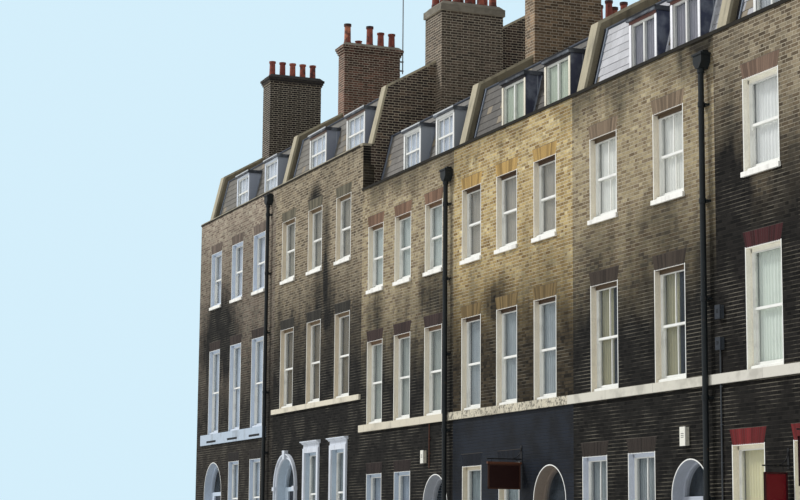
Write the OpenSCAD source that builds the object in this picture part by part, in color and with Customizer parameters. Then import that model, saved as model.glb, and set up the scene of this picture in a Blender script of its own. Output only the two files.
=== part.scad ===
// Row of six brick terraced houses with a shared front, parapets, mansard attics and chimney stacks.
// Millimetres, +Z up. X runs along the row, +X to the right as seen from the street.
// The street front faces -Y. The origin is at ground level, at mid-length of the row, on the centre
// line of the front wall. Houses are numbered from left to right: 1 and 2 are the tall pair.

/* [House widths, party line to party line] */
// Width of house 1, the left one
house_1_w = 7600; // [7200:10:8000]
// Width of house 2
house_2_w = 7250; // [7000:10:7600]
// Width of house 3
house_3_w = 6050; // [5850:10:6400]
// Width of house 4
house_4_w = 6150; // [6000:10:6400]
// Width of house 5
house_5_w = 5650; // [5600:10:6000]
// Width of house 6, the right one
house_6_w = 5700; // [5650:10:6000]
// Depth from the street face to the garden face
house_depth = 10000; // [9600:50:10600]

/* [Upper windows, centres from the party line on the left, or below 0 from the one on the right] */
// Window centres of house 1
house_1_bays = [1670, 3940, -1420]; // [-1600:10:4100]
// Window centres of house 2
house_2_bays = [1350, 3660, -1290]; // [-1500:10:3800]
// Window centres of house 3
house_3_bays = [1150, 3020, -1050]; // [-1150:10:3100]
// Window centres of house 4
house_4_bays = [1180, 3100, -1140]; // [-1200:10:3200]
// Window centres of house 5
house_5_bays = [1520, -1520]; // [-1700:10:1700]
// Window centres of house 6
house_6_bays = [1710, -1730]; // [-1850:10:1850]
// Window width in houses 1, 2, 5 and 6
bay_w_wide = 1110; // [1000:10:1160]
// Window width in houses 3 and 4
bay_w_narrow = 1030; // [960:10:1080]

/* [Ground floor windows, centres from the party line on the left, or below 0 from the one on the right] */
// Ground window centres of house 1
house_1_ground = [3980, -1460]; // [-1600:10:4100]
// Ground window centres of house 2
house_2_ground = [3680, -1400]; // [-1500:10:3800]
// Ground window centres of house 3
house_3_ground = [1180, 3090]; // [1000:10:3150]
// Ground window centres of house 4
house_4_ground = [1240, 3220]; // [1000:10:3250]
// Ground window centres of house 5
house_5_ground = [1080, 2990]; // [900:10:3050]
// Ground window centres of house 6
house_6_ground = [1120, 3050]; // [900:10:3100]
// Ground window width
ground_w = 1010; // [900:10:1080]

/* [Front doors] */
// Door centres of houses 1 to 3, counted like the windows
doors_left = [1770, 1530, -880]; // [-900:10:1800]
// Door centres of houses 4 to 6, counted like the windows
doors_right = [-950, -850, -850]; // [-1000:10:-840]
// Half width of the doorways of houses 1 to 3, the radius of their round heads
door_r_left = [930, 800, 720]; // [600:5:950]
// Half width of the doorways of houses 4 to 6
door_r_right = [745, 660, 660]; // [600:5:760]
// Width of a door leaf in houses 1 and 2
leaf_w_tall = 1060; // [900:10:1100]
// Width of a door leaf in houses 3 to 6
leaf_w_low = 920; // [800:10:960]
// Thickness of a door leaf
leaf_t = 44; // [38:1:60]
// Running gap round a door leaf
leaf_gap = 6; // [5:1:10]
// Depth from the street face to the door frame
door_setback = 230; // [150:5:230]

/* [Walls] */
// Thickness of the front and rear walls
wall_t = 330; // [300:5:400]
// Thickness of the party walls
party_t = 330; // [300:5:400]
// Thickness of the parapets
parapet_t = 225; // [200:5:240]
// Height of the brick ring beside and over a round door head
ring_w = 225; // [150:5:260]
// Height of the flat brick arches
arch_h = 300; // [225:5:330]
// Depth of the flat brick arches into the wall
arch_d = 105; // [100:1:112]
// Widening of a flat arch on each side at its top
arch_splay = 90; // [60:5:110]
// Depth from the street face to the window frames
window_setback = 110; // [90:5:140]

/* [Levels of houses 3 to 6] */
// Ground floor level
low_ground = 340; // [200:10:400]
// Ground window sill
low_ground_sill = 1250; // [1100:10:1400]
// Ground window head
low_ground_head = 3350; // [3200:10:3400]
// Springing level of the round door heads
low_spring = 2500; // [2440:10:2560]
// First floor level
low_first = 4050; // [3950:10:4200]
// First floor sill, which is the top of the sill band
low_first_sill = 4650; // [4500:10:4700]
// First floor window head
low_first_head = 6800; // [6700:10:6900]
// Second floor level
low_second = 7550; // [7350:10:7700]
// Second floor sill
low_second_sill = 8170; // [8050:10:8250]
// Second floor window head
low_second_head = 9850; // [9750:10:9900]
// Attic floor level
low_attic = 10450; // [10350:10:10600]
// Underside of the parapet coping
low_coping = 10920; // [10850:10:11000]

/* [Levels of houses 1 and 2] */
// Ground floor level
tall_ground = 680; // [500:10:700]
// Ground window sill
tall_ground_sill = 1800; // [1600:10:1900]
// Ground window head
tall_ground_head = 4090; // [3900:10:4150]
// Springing level of the round door heads
tall_spring = 3190; // [3100:10:3250]
// First floor level
tall_first = 4600; // [4550:10:4650]
// First floor sill of house 1, the top of its deep band
house_1_first_sill = 5060; // [5000:10:5150]
// First floor sill of house 2, the top of its band
house_2_first_sill = 5480; // [5400:10:5550]
// First floor window head
tall_first_head = 7790; // [7700:10:7850]
// Second floor level
tall_second = 8600; // [8400:10:8700]
// Second floor sill
tall_second_sill = 9260; // [9150:10:9350]
// Second floor window head
tall_second_head = 11030; // [10900:10:11080]
// Attic floor level
tall_attic = 11650; // [11550:10:11750]
// Underside of the parapet coping
tall_coping = 12170; // [12050:10:12250]

/* [Roof] */
// Height of the mansard knee above the coping underside
knee_h = 1690; // [1600:10:1800]
// Depth of the knee of the party walls behind the street face
knee_y = 700; // [650:10:760]
// Depth of the foot of the party wall slope behind the street face
foot_y = 290; // [285:5:320]
// Pitch of the upper roof slope in degrees
roof_pitch = 30; // [28:1:33]
// Set-back of the slates behind the party wall slope
slate_back = 110; // [90:5:130]
// Drop of the slates below the party wall slope
slate_drop = 140; // [100:5:180]
// Thickness of the roof slopes across
roof_t = 150; // [120:5:180]
// Thickness of the coping strips on the party walls
strip_t = 60; // [50:5:80]
// Overhang of the coping strips and the copings
coping_over = 25; // [15:5:30]
// Thickness of the parapet coping
coping_t = 70; // [60:5:90]

/* [Dormers] */
// Left dormer centres of houses 1 to 3, counted like the windows
dormer_a_left = [3460, 3000, 2890]; // [2700:10:3600]
// Right dormer centres of houses 1 to 3
dormer_b_left = [-1270, -1200, -1060]; // [-1400:10:-900]
// Left dormer centres of houses 4 to 6
dormer_a_right = [2850, -2960, 1650]; // [-3100:10:2950]
// Right dormer centres of houses 4 to 6
dormer_b_right = [-1100, -1310, -1800]; // [-1900:10:-950]
// Dormer widths of houses 1 to 3
dormer_w_left = [1250, 1400, 1120]; // [1000:10:1450]
// Dormer widths of houses 4 to 6
dormer_w_right = [1230, 1100, 1100]; // [1000:10:1300]
// Depth of the dormer faces behind the street face
dormer_y = 300; // [290:5:320]
// Height of the dormer foot above the coping underside
dormer_foot = 60; // [40:5:90]
// Height of a dormer from its foot to the underside of its roof
dormer_h = 1110; // [1000:10:1200]
// Thickness of the dormer cheeks
cheek_t = 55; // [45:5:70]
// Thickness of the dormer roofs
dormer_roof_t = 90; // [50:5:100]
// Overhang of the dormer roofs beside the cheeks
dormer_over = 45; // [30:5:60]

/* [Windows] */
// Width of the box frame beside the sashes
frame_w = 40; // [30:1:60]
// Depth of the box frames
frame_d = 110; // [100:5:130]
// Width of the sash stiles and rails
sash_w = 48; // [40:1:60]
// Thickness of a sash
sash_t = 40; // [35:1:45]
// Thickness of the glass
glass_t = 6; // [4:1:8]
// Height of the stone sills
sill_h = 90; // [75:5:110]
// Projection of the stone sills
sill_out = 50; // [30:5:70]
// Projection of the sill bands
band_out = 60; // [40:5:80]
// Height of the sill band of houses 3 to 6
low_band_h = 180; // [150:10:220]
// Height of the sill band of house 2
house_2_band_h = 140; // [120:10:180]
// Height of the deep band of house 1
house_1_band_h = 340; // [300:10:400]
// Distance of its ends from the party lines
house_1_band_in = 445; // [350:5:500]
// Width of the slots in it, one under each window
slot_w = 1050; // [800:10:1100]
// Height of the slots
slot_h = 70; // [50:5:90]
// Height of the slots above the underside of the band
slot_up = 60; // [40:5:120]

/* [Chimneys] */
// Thickness of the stacks over the four walls on the left
stack_t_left = [780, 540, 1150, 540]; // [500:10:1200]
// Thickness of the stacks over the three walls on the right
stack_t_right = [540, 540, 540]; // [500:10:800]
// Top of the front stacks over the four walls on the left
stack_top_left = [17450, 16850, 16250, 15850]; // [15500:50:17600]
// Top of the front stacks over the three walls on the right
stack_top_right = [15800, 15900, 15750]; // [15500:50:16000]
// Depth of the front stacks behind the street face, near side and far side
front_stack = [2100, 3950]; // [2000:10:4100]
// Depth of the rear stacks behind the street face, near side and far side
rear_stack = [6700, 8150]; // [6500:10:8300]
// A stack thicker than this has a plain cap and two rows of pots
wide_stack_t = 900; // [800:10:1100]
// Projection of each of the three oversailing courses
oversail = 30; // [20:1:35]
// Height of one brick course with its joint
course_h = 73; // [70:1:78]
// Height of the plain cap of a wide stack
cap_h = 190; // [150:5:220]
// Height of the sloping cement on a stack
cement_h = 110; // [80:5:150]
// Outer radius of a chimney pot at its foot
pot_r = 120; // [100:5:130]
// Height of the pots of the middle stacks
pot_h = 640; // [500:10:800]
// Height of the pots of the end stacks
short_pot_h = 520; // [400:10:600]
// Height of the two lowest pots over the wall between houses 1 and 2
low_pot_h = 470; // [380:10:500]
// Radius of the aerial mast on the stack between houses 1 and 2
mast_r = 18; // [12:1:25]
// Height of the mast above its stack
mast_h = 2600; // [1800:50:3000]
// Distance of the mast from the far face of the stack
mast_off = 200; // [160:5:250]

/* [Fittings] */
// Radius of the rainwater pipes
pipe_r = 55; // [45:1:60]
// Width of the hopper heads
hopper_w = 300; // [260:5:360]
// Height of the hopper heads
hopper_h = 290; // [240:5:340]
// Distances of the pipes from the party lines on their right
pipe_in = [280, 60, 80]; // [50:5:300]
// Distances of the hoppers below the coping
hopper_drop = [420, 720, 600]; // [350:10:800]
// Rise of one door step
step_rise = 170; // [150:5:180]
// Going of one door step
step_going = 280; // [250:5:320]
// Width of the stone surround of the doorway of house 2
surround_w = 150; // [120:5:180]
// Projection of that surround
surround_out = 90; // [60:5:110]
// Width of the architraves of the ground windows of house 2
architrave_w = 130; // [100:5:150]
// Projection of those architraves
architrave_out = 60; // [40:5:80]
// Height of the frieze over them
frieze_h = 110; // [80:5:140]
// Height of the cornice over the frieze
cornice_h = 100; // [80:5:130]
// Projection of the cornice
cornice_out = 130; // [100:5:150]

/* [Boards and boxes, each as centre from the party line on the left, underside, width, height] */
// Bare board on house 4
board_4 = [2700, 2800, 2000, 640]; // [600:10:3000]
// Bare board on house 6
board_6 = [3225, 2700, 1550, 800]; // [600:10:3400]
// Thickness of the boards
board_out = 60; // [40:5:80]
// Meter box of house 3
box_3 = [4560, 3520, 160, 300]; // [120:10:4600]
// Alarm box of house 5
box_5 = [4690, 3420, 180, 340]; // [120:10:4750]
// Upper box of house 6
box_6_upper = [320, 5640, 160, 240]; // [120:10:5700]
// Lower box of house 6
box_6_lower = [320, 5080, 160, 220]; // [120:10:5200]
// Projection of the boxes
box_out = 90; // [60:5:120]

/* [Hidden] */
EPS = 1;
fit_gap = 0.3;
HOUSES = [0 : 5];

// Houses, counted from 0
house_w = [house_1_w, house_2_w, house_3_w, house_4_w, house_5_w, house_6_w];
bays = [house_1_bays, house_2_bays, house_3_bays, house_4_bays, house_5_bays, house_6_bays];
ground_bays = [house_1_ground, house_2_ground, house_3_ground,
               house_4_ground, house_5_ground, house_6_ground];
bay_w = [bay_w_wide, bay_w_wide, bay_w_narrow, bay_w_narrow, bay_w_wide, bay_w_wide];
door_x = concat(doors_left, doors_right);
door_r = concat(door_r_left, door_r_right);
dormer_a = concat(dormer_a_left, dormer_a_right);
dormer_b = concat(dormer_b_left, dormer_b_right);
dormer_w = concat(dormer_w_left, dormer_w_right);
stack_t = concat(stack_t_left, stack_t_right);
stack_top = concat(stack_top_left, stack_top_right);

// Levels: each pair is the tall pair of houses and the low four
function is_tall(i) = i < 2;
function level(i, tall, low) = is_tall(i) ? tall : low;
function ground_z(i) = level(i, tall_ground, low_ground);
function first_z(i) = level(i, tall_first, low_first);
function second_z(i) = level(i, tall_second, low_second);
function attic_z(i) = level(i, tall_attic, low_attic);
function coping_z(i) = level(i, tall_coping, low_coping);
function spring_z(i) = level(i, tall_spring, low_spring);
function knee_z(i) = coping_z(i) + knee_h;
function first_sill(i) = i == 0 ? house_1_first_sill : i == 1 ? house_2_first_sill : low_first_sill;
function wall_house(k) = k == 0 ? 0 : k - 1;

// Plan: party lines, the ends of each front wall, and depths measured from the street face
function sum_to(v, n) = n == 0 ? 0 : v[n - 1] + sum_to(v, n - 1);
row_l = sum_to(house_w, 6) + party_t;
function party_x(k) = -row_l / 2 + party_t / 2 + sum_to(house_w, k);
function wall_start(i) = i == 0 ? -row_l / 2 : party_x(i) + party_t / 2;
function place(i, c) = c < 0 ? party_x(i + 1) + c : party_x(i) + c;
function door_c(i) = place(i, door_x[i]);
face_y = -wall_t / 2;
mid_y = face_y + house_depth / 2;
inner_l = house_depth - 2 * wall_t;
function at(d) = face_y + d;

// Roof lines in the plane across the row, as [depth behind the street face, height]
function ridge_z(i) = knee_z(i) + (house_depth / 2 - knee_y) * tan(roof_pitch);
steep = (knee_y - foot_y) / knee_h;
function slate_knee(i) = [knee_y + slate_back, knee_z(i) - slate_drop];
function slate_y(i, z) = slate_knee(i)[0] - (slate_knee(i)[1] - z) * steep;
function slate_ridge(i) = slate_knee(i)[1] + (house_depth / 2 - slate_knee(i)[0]) * tan(roof_pitch);
function inner_knee(i) = slate_knee(i) + [roof_t * 0.75, -roof_t];
function inner_y(i, z) = inner_knee(i)[0] - (inner_knee(i)[1] - z) * steep;
function inner_ridge(i) = inner_knee(i)[1] + (house_depth / 2 - inner_knee(i)[0]) * tan(roof_pitch);

// Windows: each list holds [house, centre x, width, sill, head]
function storey(list, width, sill, head) = [for (i = HOUSES, b = list[i])
    [i, place(i, b), width[i], sill[i], head[i]]];
ground_sills = [for (i = HOUSES) level(i, tall_ground_sill, low_ground_sill)];
ground_heads = [for (i = HOUSES) level(i, tall_ground_head, low_ground_head)];
first_sills = [for (i = HOUSES) first_sill(i)];
first_heads = [for (i = HOUSES) level(i, tall_first_head, low_first_head)];
second_sills = [for (i = HOUSES) level(i, tall_second_sill, low_second_sill)];
second_heads = [for (i = HOUSES) level(i, tall_second_head, low_second_head)];
ground_list = storey(ground_bays, [for (i = HOUSES) ground_w], ground_sills, ground_heads);
first_list = storey(bays, bay_w, first_sills, first_heads);
second_list = storey(bays, bay_w, second_sills, second_heads);

// The garden side has two windows a storey, at these shares of the width of each house
rear_share = [0.29, 0.71];
rear_bays = [for (i = HOUSES) house_w[i] * rear_share];
rear_list = concat(storey(rear_bays, bay_w, ground_sills, ground_heads),
                   storey(rear_bays, bay_w, first_sills, first_heads),
                   storey(rear_bays, bay_w, second_sills, second_heads));
function of_house(list, i) = [for (w = list) if (w[0] == i) w];

// Basic shapes

// A box between two corners
module span(x, y, z) {
    translate([x[0], y[0], z[0]]) cube([x[1] - x[0], y[1] - y[0], z[1] - z[0]]);
}

// A flat outline in depth and height, drawn out along the row
module across(x0, x1) {
    translate([x0, face_y, 0]) rotate([90, 0, 90]) linear_extrude(x1 - x0) children();
}

// A flat outline in length and height, drawn out in depth from the street face
module upright(d0, d1) {
    translate([0, at(d1), 0]) rotate([90, 0, 0]) linear_extrude(d1 - d0) children();
}

// The garden side is the street side turned about the middle of the houses
module to_rear() {
    translate([0, 2 * mid_y, 0]) mirror([0, 1, 0]) children();
}

// Openings and what fills them

// Hole for a window with the pockets for its arch and its sill
module window_hole(w) {
    span([w[1] - w[2] / 2, w[1] + w[2] / 2], [at(-EPS), at(wall_t + EPS)], [w[3], w[4]]);
    flat_arch(w, EPS);
    sill_block(w, EPS);
}

// Flat arch of rubbed bricks, wider at its top
module flat_arch(w, out) {
    upright(-out, arch_d) polygon([
        [w[1] - w[2] / 2, w[4]], [w[1] + w[2] / 2, w[4]],
        [w[1] + w[2] / 2 + arch_splay, w[4] + arch_h], [w[1] - w[2] / 2 - arch_splay, w[4] + arch_h]]);
}

// Stone sill that runs from the frame to beyond the wall face
module sill_block(w, out) {
    span([w[1] - w[2] / 2 - 50, w[1] + w[2] / 2 + 50],
         [at(-out), at(window_setback)], [w[3] - sill_h, w[3]]);
}

// Box frame with two sliding sashes, the upper one outside
module sash_window(w) {
    x = [w[1] - w[2] / 2, w[1] + w[2] / 2];
    y0 = at(window_setback);
    middle = (w[3] + w[4]) / 2;
    difference() {
        span(x, [y0, y0 + frame_d], [w[3], w[4]]);
        span([x[0] + frame_w, x[1] - frame_w], [y0 - EPS, y0 + frame_d + EPS],
             [w[3] + frame_w, w[4] - frame_w]);
    }
    sash_ring(x, y0 + frame_d / 2 - sash_t, [middle - sash_w / 2, w[4] - frame_w]);
    sash_ring(x, y0 + frame_d / 2, [w[3] + frame_w, middle + sash_w / 2]);
}

// One sash as a ring inside the box frame
module sash_ring(x, y0, z) {
    difference() {
        span([x[0] + frame_w, x[1] - frame_w], [y0, y0 + sash_t], z);
        span([x[0] + frame_w + sash_w, x[1] - frame_w - sash_w], [y0 - EPS, y0 + sash_t + EPS],
             [z[0] + sash_w, z[1] - sash_w]);
    }
}

// The two panes of a sash window
module sash_panes(w) {
    x = [w[1] - w[2] / 2 + frame_w + sash_w, w[1] + w[2] / 2 - frame_w - sash_w];
    y0 = at(window_setback) + frame_d / 2;
    middle = (w[3] + w[4]) / 2;
    span(x, [y0 - sash_t / 2 - glass_t / 2, y0 - sash_t / 2 + glass_t / 2],
         [middle + sash_w / 2, w[4] - frame_w - sash_w]);
    span(x, [y0 + sash_t / 2 - glass_t / 2, y0 + sash_t / 2 + glass_t / 2],
         [w[3] + frame_w + sash_w, middle - sash_w / 2]);
}

// Walls

// Wall of one house beside its doorway, up to the first floor
module ground_wall(i) {
    c = door_c(i);
    color("saddlebrown") difference() {
        span([wall_start(i), wall_start(i + 1)], [at(0), at(wall_t)], [0, first_z(i)]);
        span([c - door_r[i], c + door_r[i]], [at(-EPS), at(wall_t + EPS)], [-EPS, spring_z(i) + EPS]);
        span([c - door_r[i] - ring_w, c + door_r[i] + ring_w], [at(-EPS), at(wall_t + EPS)],
             [spring_z(i), first_z(i) + EPS]);
        for (w = of_house(ground_list, i)) window_hole(w);
    }
}

// Wall of one house over its doorway and from the first floor to the parapet
module front_wall(i) {
    c = door_c(i);
    color("peru") difference() {
        union() {
            span([wall_start(i), wall_start(i + 1)], [at(0), at(wall_t)], [first_z(i), attic_z(i)]);
            span([wall_start(i), wall_start(i + 1)], [at(0), at(parapet_t)], [attic_z(i), coping_z(i)]);
            span([c - door_r[i] - ring_w, c + door_r[i] + ring_w], [at(0), at(wall_t)],
                 [spring_z(i), first_z(i)]);
        }
        translate([c, at(wall_t + EPS), spring_z(i)]) rotate([90, 0, 0])
            cylinder(h = wall_t + 2 * EPS, r = door_r[i], $fn = 96);
        for (w = of_house(ground_list, i)) window_hole(w);
        for (w = of_house(first_list, i)) window_hole(w);
        for (w = of_house(second_list, i)) window_hole(w);
    }
}

module rear_wall() {
    color("tan") to_rear() difference() {
        for (i = HOUSES) {
            span([wall_start(i), wall_start(i + 1)], [at(0), at(wall_t)], [0, attic_z(i)]);
            span([wall_start(i), wall_start(i + 1)], [at(0), at(parapet_t)], [attic_z(i), coping_z(i)]);
        }
        for (w = rear_list) window_hole(w);
    }
}

// Outline of a party wall, with the slopes of the mansard
function half_outline(i) = [
    [wall_t, 0], [wall_t, attic_z(i)], [parapet_t, attic_z(i)], [parapet_t, coping_z(i)],
    [foot_y, coping_z(i)], [knee_y, knee_z(i)], [house_depth / 2, ridge_z(i)]];
function mirrored(points) = [for (n = [len(points) - 2 : -1 : 0])
    [house_depth - points[n][0], points[n][1]]];

module party_walls() {
    color("brown") difference() {
        for (k = [0 : 6]) {
            pts = half_outline(wall_house(k));
            across(party_x(k) - party_t / 2, party_x(k) + party_t / 2)
                polygon(concat(pts, mirrored(pts)));
        }
        for (k = [0 : 6], y = [front_stack, rear_stack]) stack_space(k, y);
    }
}

// Floors

// One floor slab a house, between the party walls
module floor_slabs(tops, thick) {
    for (i = HOUSES)
        span([party_x(i) + party_t / 2, party_x(i + 1) - party_t / 2],
             [at(wall_t), at(wall_t) + inner_l], [tops[i] - thick, tops[i]]);
}
floor_t = 220;
module ground_floors() { color("burlywood") floor_slabs([for (i = HOUSES) ground_z(i)], 150); }
module first_floors() { color("burlywood") floor_slabs([for (i = HOUSES) first_z(i)], floor_t); }
module second_floors() { color("burlywood") floor_slabs([for (i = HOUSES) second_z(i)], floor_t); }
module attic_floors() { color("burlywood") floor_slabs([for (i = HOUSES) attic_z(i)], floor_t); }

// Roof

// Steep lower slope of one house, on the street side
module lower_slope(i) {
    difference() {
        across(party_x(i) + party_t / 2, party_x(i + 1) - party_t / 2) polygon([
            [slate_y(i, attic_z(i)), attic_z(i)], slate_knee(i), inner_knee(i),
            [inner_y(i, attic_z(i)), attic_z(i)]]);
        for (c = [dormer_a[i], dormer_b[i]])
            span([place(i, c) - dormer_w[i] / 2 + cheek_t, place(i, c) + dormer_w[i] / 2 - cheek_t],
                 [at(0), at(house_depth / 2)], [dormer_base(i) + cheek_t, dormer_top(i) - cheek_t]);
    }
}
module mansard_slopes() {
    color("slategray") for (i = HOUSES) {
        lower_slope(i);
        to_rear() lower_slope(i);
    }
}

// Flatter upper slopes, which meet under the ridge
module upper_slope(i) {
    across(party_x(i) + party_t / 2, party_x(i + 1) - party_t / 2) polygon([
        slate_knee(i), [house_depth / 2, slate_ridge(i)], [house_depth / 2, inner_ridge(i)],
        inner_knee(i)]);
}
module upper_slopes() {
    color("dimgray") difference() {
        for (i = HOUSES) upper_slope(i);
        for (k = [0 : 6]) stack_space(k, front_stack);
    }
}
module rear_upper_slopes() {
    color("dimgray") difference() {
        to_rear() for (i = HOUSES) upper_slope(i);
        for (k = [0 : 6]) stack_space(k, rear_stack);
    }
}

// Angled ridge tiles
ridge_half = 220;
ridge_t = 35;
module ridge_tiles() {
    color("firebrick") for (i = HOUSES) {
        r = slate_ridge(i);
        drop = ridge_half * tan(roof_pitch);
        mid = house_depth / 2;
        across(party_x(i) + party_t / 2, party_x(i + 1) - party_t / 2) polygon([
            [mid - ridge_half, r - drop], [mid, r], [mid + ridge_half, r - drop],
            [mid + ridge_half, r - drop + ridge_t], [mid, r + ridge_t],
            [mid - ridge_half, r - drop + ridge_t]]);
    }
}

// Copings on the parapets, one run over the tall pair and one over the low four
module coping_runs() {
    for (run = [[0, 2], [2, 6]])
        span([wall_start(run[0]), wall_start(run[1])], [at(-coping_over), at(parapet_t + coping_over)],
             [coping_z(run[0]), coping_z(run[0]) + coping_t]);
}
module parapet_copings() {
    color("lightgray") {
        coping_runs();
        to_rear() coping_runs();
    }
}

// Sloping rendered strips on the party walls
module party_copings() {
    color("beige") difference() {
        for (k = [0 : 6]) {
            i = wall_house(k);
            low = coping_z(i) + coping_t;
            x = [party_x(k) - party_t / 2, party_x(k) + party_t / 2];
            foot = foot_y + (low - coping_z(i)) * steep;
            pts = [[foot, low], [knee_y, knee_z(i)], [house_depth / 2, ridge_z(i)],
                   [house_depth / 2, ridge_z(i) + strip_t / cos(roof_pitch)],
                   [knee_y - strip_t, knee_z(i) + strip_t * tan(roof_pitch)], [foot - strip_t, low]];
            across(x[0], x[1]) polygon(pts);
            to_rear() across(x[0], x[1]) polygon(pts);
        }
        for (k = [0 : 6], y = [front_stack, rear_stack]) stack_space(k, y);
    }
}

// Chimneys

// A stack over an end wall is flush with the outer face of the wall
function stack_x(k) = k == 0 ? party_x(k) + (stack_t[k] - party_t) / 2
                    : k == 6 ? party_x(k) - (stack_t[k] - party_t) / 2 : party_x(k);
function stack_foot(k) = min(knee_z(wall_house(k)), knee_z(min(k, 5)));
module stack_space(k, y) {
    span([stack_x(k) - stack_t[k] / 2, stack_x(k) + stack_t[k] / 2], [at(y[0]), at(y[1])],
         [stack_foot(k), stack_top[k]]);
}

// A course that stands out round a stack
module course(k, y, z, h, out) {
    span([stack_x(k) - stack_t[k] / 2 - out, stack_x(k) + stack_t[k] / 2 + out],
         [at(y[0] - out), at(y[1] + out)], [z, z + h]);
}
function is_wide(k) = stack_t[k] > wide_stack_t;

// Three courses that step out and sloping cement, or a plain cap on a wide stack
module stack(k, y) {
    top = stack_top[k];
    stack_space(k, y);
    if (is_wide(k)) course(k, y, top - cap_h, cap_h, oversail * 1.5);
    else for (n = [1 : 3]) course(k, y, top - (4 - n) * course_h, course_h, n * oversail);
    cement(k, y, is_wide(k) ? oversail : 2.5 * oversail);
}

// Cement that slopes up to the pots from all four sides
module cement(k, y, edge) {
    x = [stack_x(k) - stack_t[k] / 2 - edge, stack_x(k) + stack_t[k] / 2 + edge];
    d = [y[0] - edge, y[1] + edge];
    z = [stack_top[k], stack_top[k] + cement_h];
    intersection() {
        across(x[0], x[1]) polygon([
            [d[0], z[0]], [d[1], z[0]], [d[1] - cement_h, z[1]], [d[0] + cement_h, z[1]]]);
        upright(d[0], d[1]) polygon([
            [x[0], z[0]], [x[1], z[0]], [x[1] - cement_h, z[1]], [x[0] + cement_h, z[1]]]);
    }
}
module chimney_stacks() {
    color("sienna") for (k = [0 : 6], y = [front_stack, rear_stack]) stack(k, y);
}

// A terracotta pot with a rolled rim, open at the top
module pot(h) {
    rotate_extrude($fn = 32) polygon([
        [pot_r * 0.75, 0], [pot_r, 0], [pot_r, h * 0.08], [pot_r * 0.88, h * 0.14],
        [pot_r * 0.80, h * 0.86], [pot_r * 0.98, h * 0.89], [pot_r * 0.98, h], [pot_r * 0.70, h]]);
}
stub_h = 130;
five_pots = [for (n = [1 : 5]) pot_h];
five_short = [for (n = [1 : 5]) short_pot_h];
three_pots = [for (n = [1 : 3]) pot_h];
three_short = [for (n = [1 : 3]) short_pot_h];

// Heights of the pots in a row, from the street side; the stub is a capped flue
front_pots = [five_short, [pot_h, stub_h, pot_h, low_pot_h, low_pot_h], five_pots, five_pots,
              five_pots, five_pots, five_short];
rear_pots = [three_short, three_pots, three_pots, three_pots, three_pots, three_pots, three_short];
module pot_rows(k, y, heights) {
    pitch = (y[1] - y[0]) / len(heights);
    for (n = [0 : len(heights) - 1], row = is_wide(k) ? [-1, 1] : [0])
        translate([stack_x(k) + row * stack_t[k] / 4, at(y[0] + pitch * (n + 0.5)),
                   stack_top[k] + cement_h])
            pot(heights[n]);
}
module chimney_pots() {
    color("chocolate") for (k = [0 : 6]) {
        pot_rows(k, front_stack, front_pots[k]);
        pot_rows(k, rear_stack, rear_pots[k]);
    }
}

// Pole held off the far face of a stack by two brackets, with a small aerial at its top
mast_wall = 1;
module aerial_mast() {
    x = stack_x(mast_wall);
    y = at(front_stack[1] + mast_off);
    top = stack_top[mast_wall] + mast_h;
    brackets = [for (n = [1, 2]) stack_top[mast_wall] - 4 * course_h * n];
    boom_l = 620;
    color("gray") union() {
        translate([x, y, brackets[1] - course_h]) cylinder(h = top - brackets[1] + course_h, r = mast_r,
                                                          $fn = 24);
        for (z = brackets)
            span([x - mast_r - 6, x + mast_r + 6], [at(front_stack[1]), y + mast_r + 6], [z, z + 40]);
        translate([x - boom_l / 4, y, top - 60]) rotate([0, 90, 0]) cylinder(h = boom_l, r = 12, $fn = 24);
        for (n = [0 : 5])
            translate([x - boom_l / 5 + n * boom_l / 6, y - 150 + n * 12, top - 60]) rotate([-90, 0, 0])
                cylinder(h = 300 - n * 24, r = 5, $fn = 16);
    }
}

// Dormers
function dormer_base(i) = coping_z(i) + dormer_foot;
function dormer_top(i) = dormer_base(i) + dormer_h;
dormer_list = [for (i = HOUSES, c = [dormer_a[i], dormer_b[i]]) [i, place(i, c)]];

// Part of a dormer between two levels, from its face to the slates
module dormer_slice(i, x, z) {
    across(x[0], x[1]) polygon([
        [dormer_y, z[0]], [slate_y(i, z[0]) - fit_gap, z[0]], [slate_y(i, z[1]) - fit_gap, z[1]],
        [dormer_y, z[1]]]);
}

// Cheeks of one dormer, with its foot and its head board between them
module dormer_box(d) {
    i = d[0];
    x = [d[1] - dormer_w[i] / 2, d[1] + dormer_w[i] / 2];
    z = [dormer_base(i), dormer_top(i)];
    between = [x[0] + cheek_t + fit_gap, x[1] - cheek_t - fit_gap];
    dormer_slice(i, [x[0], x[0] + cheek_t], z);
    dormer_slice(i, [x[1] - cheek_t, x[1]], z);
    dormer_slice(i, between, [z[0], z[0] + cheek_t]);
    dormer_slice(i, between, [z[1] - cheek_t, z[1]]);
}
module dormer_boxes() {
    color("lightsteelblue") for (d = dormer_list) {
        dormer_box(d);
        to_rear() dormer_box(d);
    }
}

// Flat lead roof of one dormer, with a small overhang
module dormer_roof(d) {
    i = d[0];
    z = dormer_top(i);
    half = dormer_w[i] / 2 + dormer_over;
    front = dormer_y - 1.5 * dormer_over;
    across(d[1] - half, d[1] + half) polygon([
        [front, z], [slate_y(i, z) - fit_gap, z],
        [slate_y(i, z + dormer_roof_t) - fit_gap, z + dormer_roof_t], [front, z + dormer_roof_t]]);
}
module dormer_roofs() {
    color("darkslategray") for (d = dormer_list) {
        dormer_roof(d);
        to_rear() dormer_roof(d);
    }
}

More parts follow.
